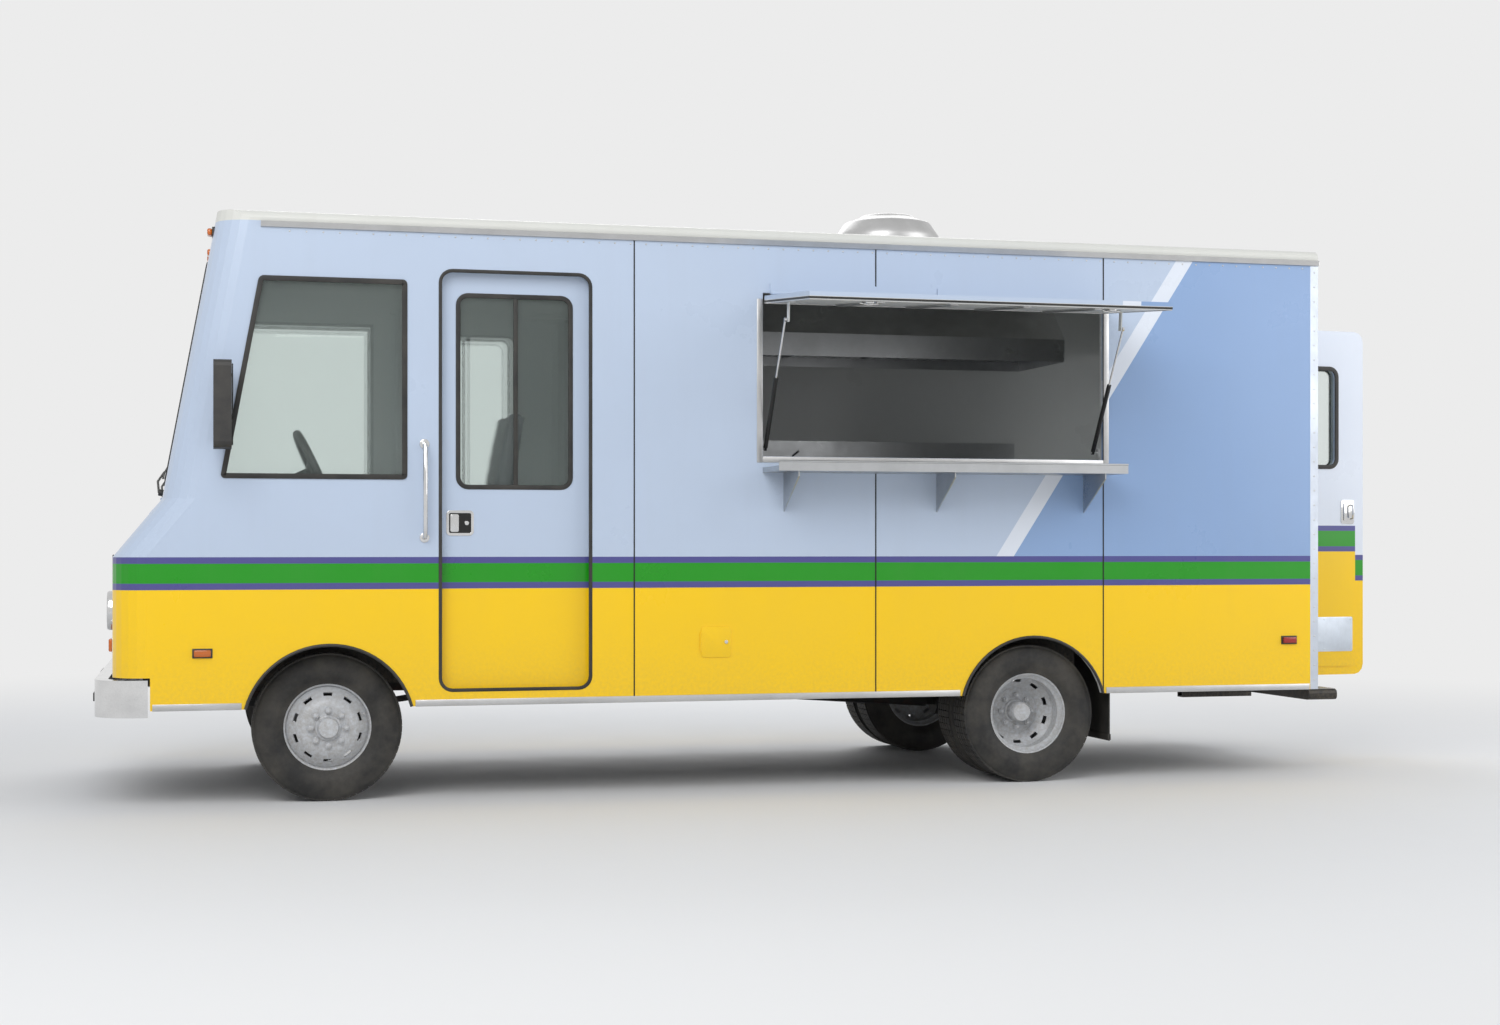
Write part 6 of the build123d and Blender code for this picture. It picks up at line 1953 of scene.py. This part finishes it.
@dataclass
class Cab:
    """Driver's seat, dash, wheel, pedals, visors and engine cover."""

    driver_y: float = -0.560

    def build(self) -> None:
        """Dresses the cab and adds the seat, dials, pedals, wheel grip and visors."""
        dress("engine_cover", BLACK)
        dress("dashboard", DASH)
        self.seat()
        self.dials()
        self.pedals()
        self.wheel()
        self.visors()

    def wheel(self) -> None:
        """A padded rim, the horn button and the column's sleeve over the wheel's core."""
        centre, foot = (Vector((x, self.driver_y, z)) for x, z in ((-1.790, 1.560), (-2.270, 1.340)))
        axis = (centre - foot).normalized()
        turn = axis.to_track_quat("Z", "Y").to_matrix().to_4x4()
        place = Matrix.Translation(centre) @ turn
        shape = Shape()
        steps = 72
        rim = [place @ spoke(math.tau * number / steps, 0.205) for number in range(steps)]
        shape.tube(rim, 0.0198, sides=16, closed=True)
        hub = [
            (0.0, 0.026), (0.030, 0.025), (0.052, 0.018), (0.060, 0.004), (0.058, -0.016), (0.044, -0.030),
            (0.0, -0.032),
        ]
        shape.lathe(hub, centre, axis, steps=48, closed=False)
        sleeve = [(0.030, -0.020), (0.036, -0.030), (0.034, -0.230), (0.030, -0.240)]
        shape.lathe(sleeve, centre, axis, steps=32)
        shape.piece("steering_wheel_grip", TRUCK, BLACK, "black_plastic")

    def visors(self) -> None:
        """Sun visors and a rear view mirror under the roof's front edge."""
        shape = Shape()
        for y in (self.driver_y, -self.driver_y):
            shape.box((-2.165, y - 0.26, 2.455), (-2.145, y + 0.26, 2.625), soft=0.008, segments=3)
            shape.rod((-2.155, y - 0.30, 2.625), (-2.155, y + 0.27, 2.625), 0.006, sides=12)
        shape.rod((-2.200, 0.0, 2.560), (-2.120, 0.0, 2.480), 0.006, sides=12)
        shape.box((-2.125, -0.115, 2.435), (-2.105, 0.115, 2.500), soft=0.006, segments=3)
        shape.piece("sun_visors", TRUCK, BLACK, "black_plastic")

    def cushion(
        self, name: str, low: Triple, high: Triple, turn: Matrix, channels: int, across: str,
    ) -> None:
        """A stuffed pad with sewn channels, crowned between its edges.

        Args:
            name: The piece's name.
            low: Lowest corner before the turn.
            high: Highest corner before the turn.
            turn: Where the pad lies.
            channels: Number of sewn channels.
            across: The axis that the channels follow one another along, x or z.
        """
        shape = Shape().box(low, high)
        bmesh.ops.subdivide_edges(shape.bm, edges=shape.bm.edges[:], cuts=23, use_grid_fill=True)
        middle = (Vector(low) + Vector(high)) / 2
        half = (Vector(high) - Vector(low)) / 2
        index = "xyz".index(across)
        thin = 2 if across == "x" else 0
        for vert in shape.bm.verts:
            local = [(vert.co[axis] - middle[axis]) / half[axis] for axis in range(3)]
            flat = [abs(local[axis]) for axis in range(3) if axis != thin]
            crown = (1 - flat[0] ** 4) * (1 - flat[1] ** 4)
            groove = abs(math.sin((local[index] + 1) / 2 * math.pi * channels)) ** 0.35
            depth = half[thin] * (0.62 + 0.30 * crown * (0.55 + 0.45 * groove))
            vert.co[thin] = middle[thin] + local[thin] * depth
            for axis in range(3):
                if axis != thin:
                    other = [a for a in range(3) if a not in (axis, thin)][0]
                    pull = 1 - 0.035 * (1 - abs(local[other]) ** 3) - 0.05 * abs(local[thin]) ** 3
                    vert.co[axis] = middle[axis] + local[axis] * half[axis] * pull
        bmesh.ops.smooth_vert(
            shape.bm, verts=shape.bm.verts[:], factor=0.5, use_axis_x=True, use_axis_y=True, use_axis_z=True,
        )
        shape.moved(turn)
        made = shape.piece(name, TRUCK, VINYL, "seat_vinyl")

    def seat(self) -> None:
        """Cushion, back, pedestal and lever of the driver's seat."""
        level = Matrix.Identity(4)
        lean = Matrix.Translation((-1.000, 0, 1.240)) @ Matrix.Rotation(math.radians(10), 4, "Y")
        self.cushion("seat_cushion", (-1.415, -0.796, 1.158), (-0.935, -0.324, 1.268), level, 6, "x")
        self.cushion("seat_back", (0.004, -0.786, 0.010), (0.126, -0.334, 0.632), lean, 7, "z")
        base = Shape()
        base.box((-1.310, -0.710, 0.790), (-1.010, -0.410, 1.130), soft=0.012)
        base.box((-1.380, -0.770, 1.128), (-0.960, -0.350, 1.158), soft=0.006)
        base.tube([(-0.99, -0.80, 1.16), (-0.95, -0.80, 1.22), (-0.90, -0.80, 1.45)], 0.010)
        base.piece("seat_pedestal", TRUCK, BLACK, "black_plastic", ["driver_seat"])

    def dials(self) -> None:
        """Round dials in the dash before the driver, each with a bezel and a hand."""
        face, ring = Shape(), Shape()
        normal = Vector((0.992, 0, 0.124))
        for offset, radius in ((-0.18, 0.040), (0.0, 0.052), (0.18, 0.040)):
            centre = Vector((-2.2035, self.driver_y + offset, 1.382))
            disc = [(0.0, 0.0), (radius, 0.0), (radius, 0.003), (0.0, 0.003)]
            face.lathe(disc, centre, normal, steps=40, closed=False)
            rim = [(radius, 0.0), (radius + 0.006, 0.0), (radius + 0.006, 0.008), (radius, 0.009)]
            ring.lathe(rim, centre, normal, steps=40)
            hand = normal.cross(Vector((0, 1, 0))).normalized()
            tip = centre + normal * 0.005 + (hand * 0.6 + Vector((0, 0.8, 0))) * radius * 0.75
            ring.rod(centre + normal * 0.005, tip, 0.0016, sides=6, tip=0.0006)
        face.piece("dial_faces", TRUCK, WHITE_PANEL, "black_plastic")
        ring.piece("dial_rings", TRUCK, CHROME, "chrome_rod")

    def pedals(self) -> None:
        """Brake and accelerator on their arms."""
        shape = Shape()
        for y, width in ((-0.62, 0.070), (-0.46, 0.045)):
            shape.tube([(-2.36, y, 1.270), (-2.26, y, 1.060), (-2.20, y, 0.900)], 0.009)
            shape.box((-2.205, y - width, 0.870), (-2.185, y + width, 0.950), soft=0.005)
        shape.piece("pedals", TRUCK, BLACK, "black_plastic")


@dataclass
class Studio:
    """Pale floor, soft light and the camera."""

    azimuth: float = -14.6
    eye: float = 1.20
    distance: float = 11.1
    aim: tuple[float, float, float] = (0.50, -0.2, 1.38)
    lit: tuple[float, float, float] = (0.4, 0.0, 1.2)
    lens: float = 50.0
    pale: Colour = grey(236)

    def build(self) -> None:
        """Sets the floor, the world, the lamps and the camera."""
        self.floor()
        self.world()
        self.lamps()
        self.camera()

    def floor(self) -> None:
        """A round floor that fades into the background far from the truck."""
        shape = Shape()
        bmesh.ops.create_circle(shape.bm, cap_ends=True, segments=96, radius=60.0)
        mesh = bpy.data.meshes.new("studio_floor")
        shape.bm.to_mesh(mesh)
        shape.bm.free()
        floor = stand("studio_floor", mesh)
        graph = Graph("studio_floor")
        place = graph.place()
        across, along, _ = graph.axes(place)
        squares = [graph.math("POWER", part, 2.0) for part in (across, along)]
        reach = graph.math("SQRT", graph.math("ADD", *squares))
        rough = graph.span(graph.noise(3.0, place), 0.3, 0.7, 0.62, 0.7)
        graph.surface(Base_Color=grey(230), Roughness=rough, Specular_IOR_Level=0.2)
        glow = graph.node("ShaderNodeEmission")
        glow.inputs["Color"].default_value = self.pale
        mixer = graph.node("ShaderNodeMixShader")
        fade = graph.span(reach, 3.3, 10.5)
        rising = graph.math("MULTIPLY_ADD", fade, -2.0, 3.0)
        smooth = graph.math("MULTIPLY", graph.math("POWER", fade, 2.0), rising)
        graph.feed(mixer.inputs[0], smooth)
        graph.feed(mixer.inputs[1], graph.shader.outputs[0])
        graph.feed(mixer.inputs[2], glow.outputs[0])
        graph.feed(graph.output.inputs["Surface"], mixer.outputs[0])
        mesh.materials.append(graph.material)

    def world(self) -> None:
        """A pale world for the camera, gloss and glass, and a dimmer one as light."""
        world = bpy.data.worlds.new("studio")
        bpy.context.scene.world = world
        world.use_nodes = True
        tree = world.node_tree
        tree.nodes.clear()
        output = tree.nodes.new("ShaderNodeOutputWorld")
        path = tree.nodes.new("ShaderNodeLightPath")
        seen, light = tree.nodes.new("ShaderNodeBackground"), tree.nodes.new("ShaderNodeBackground")
        seen.inputs["Color"].default_value = self.pale
        light.inputs["Color"].default_value = srgb(228, 232, 238)
        light.inputs["Strength"].default_value = 0.62
        total = path.outputs["Is Camera Ray"]
        for name in ("Is Glossy Ray", "Is Transmission Ray"):
            more = tree.nodes.new("ShaderNodeMath")
            more.operation = "MAXIMUM"
            tree.links.new(total, more.inputs[0])
            tree.links.new(path.outputs[name], more.inputs[1])
            total = more.outputs[0]
        mixer = tree.nodes.new("ShaderNodeMixShader")
        tree.links.new(total, mixer.inputs[0])
        tree.links.new(light.outputs[0], mixer.inputs[1])
        tree.links.new(seen.outputs[0], mixer.inputs[2])
        tree.links.new(mixer.outputs[0], output.inputs["Surface"])

    def lamps(self) -> None:
        """Three wide soft lamps round the truck."""
        for name, place, size, power in (
            ("key", (-4.5, -8.5, 7.5), 7.0, 560.0),
            ("fill", (8.0, -5.0, 4.5), 7.0, 250.0),
            ("back", (2.0, 8.5, 7.0), 8.0, 400.0),
        ):
            data = bpy.data.lights.new(name, "AREA")
            data.size = size
            data.energy = power
            lamp = stand(name, data)
            lamp.location = place
            way = Vector(self.lit) - Vector(place)
            lamp.rotation_euler = way.to_track_quat("-Z", "Y").to_euler()

    def camera(self) -> None:
        """The photograph's direction and eye height, moved back to hold the whole truck."""
        data = bpy.data.cameras.new("camera")
        data.lens = self.lens
        data.sensor_width = 36.0
        camera = stand("camera", data)
        turn = math.radians(self.azimuth)
        aim = Vector(self.aim)
        way = Vector((-math.sin(turn), math.cos(turn), 0))
        camera.location = aim - way * self.distance
        camera.location.z = self.eye
        camera.rotation_euler = way.to_track_quat("-Z", "Y").to_euler()
        data.shift_y = (aim.z - self.eye) / (self.distance * data.sensor_width / self.lens)
        bpy.context.scene.camera = camera


def main() -> None:
    """Builds the studio and then each part of the truck."""
    logging.basicConfig(level=logging.INFO, format="%(name)s %(message)s")
    bpy.context.scene.view_settings.view_transform = "Standard"
    Studio().build()
    for side, name in zip(SIDES, ("left", "right")):
        front = (f"front_{name}", f"front_wheel_{name}", f"front_rim_{name}", f"front_tyre_{name}")
        RoadWheel(*front, side, False).build()
        rear = (f"rear_{name}", f"rear_wheels_{name}", f"rear_rims_{name}", f"rear_tyres_{name}")
        RoadWheel(*rear, side, True).build()
    for part in (Chassis(), BodyShell(), Nose(), Tail(), ServingSide(), Kitchen(), Cab()):
        LOG.info("building %s", type(part).__name__)
        part.build()


if __name__ == "__main__":
    main()
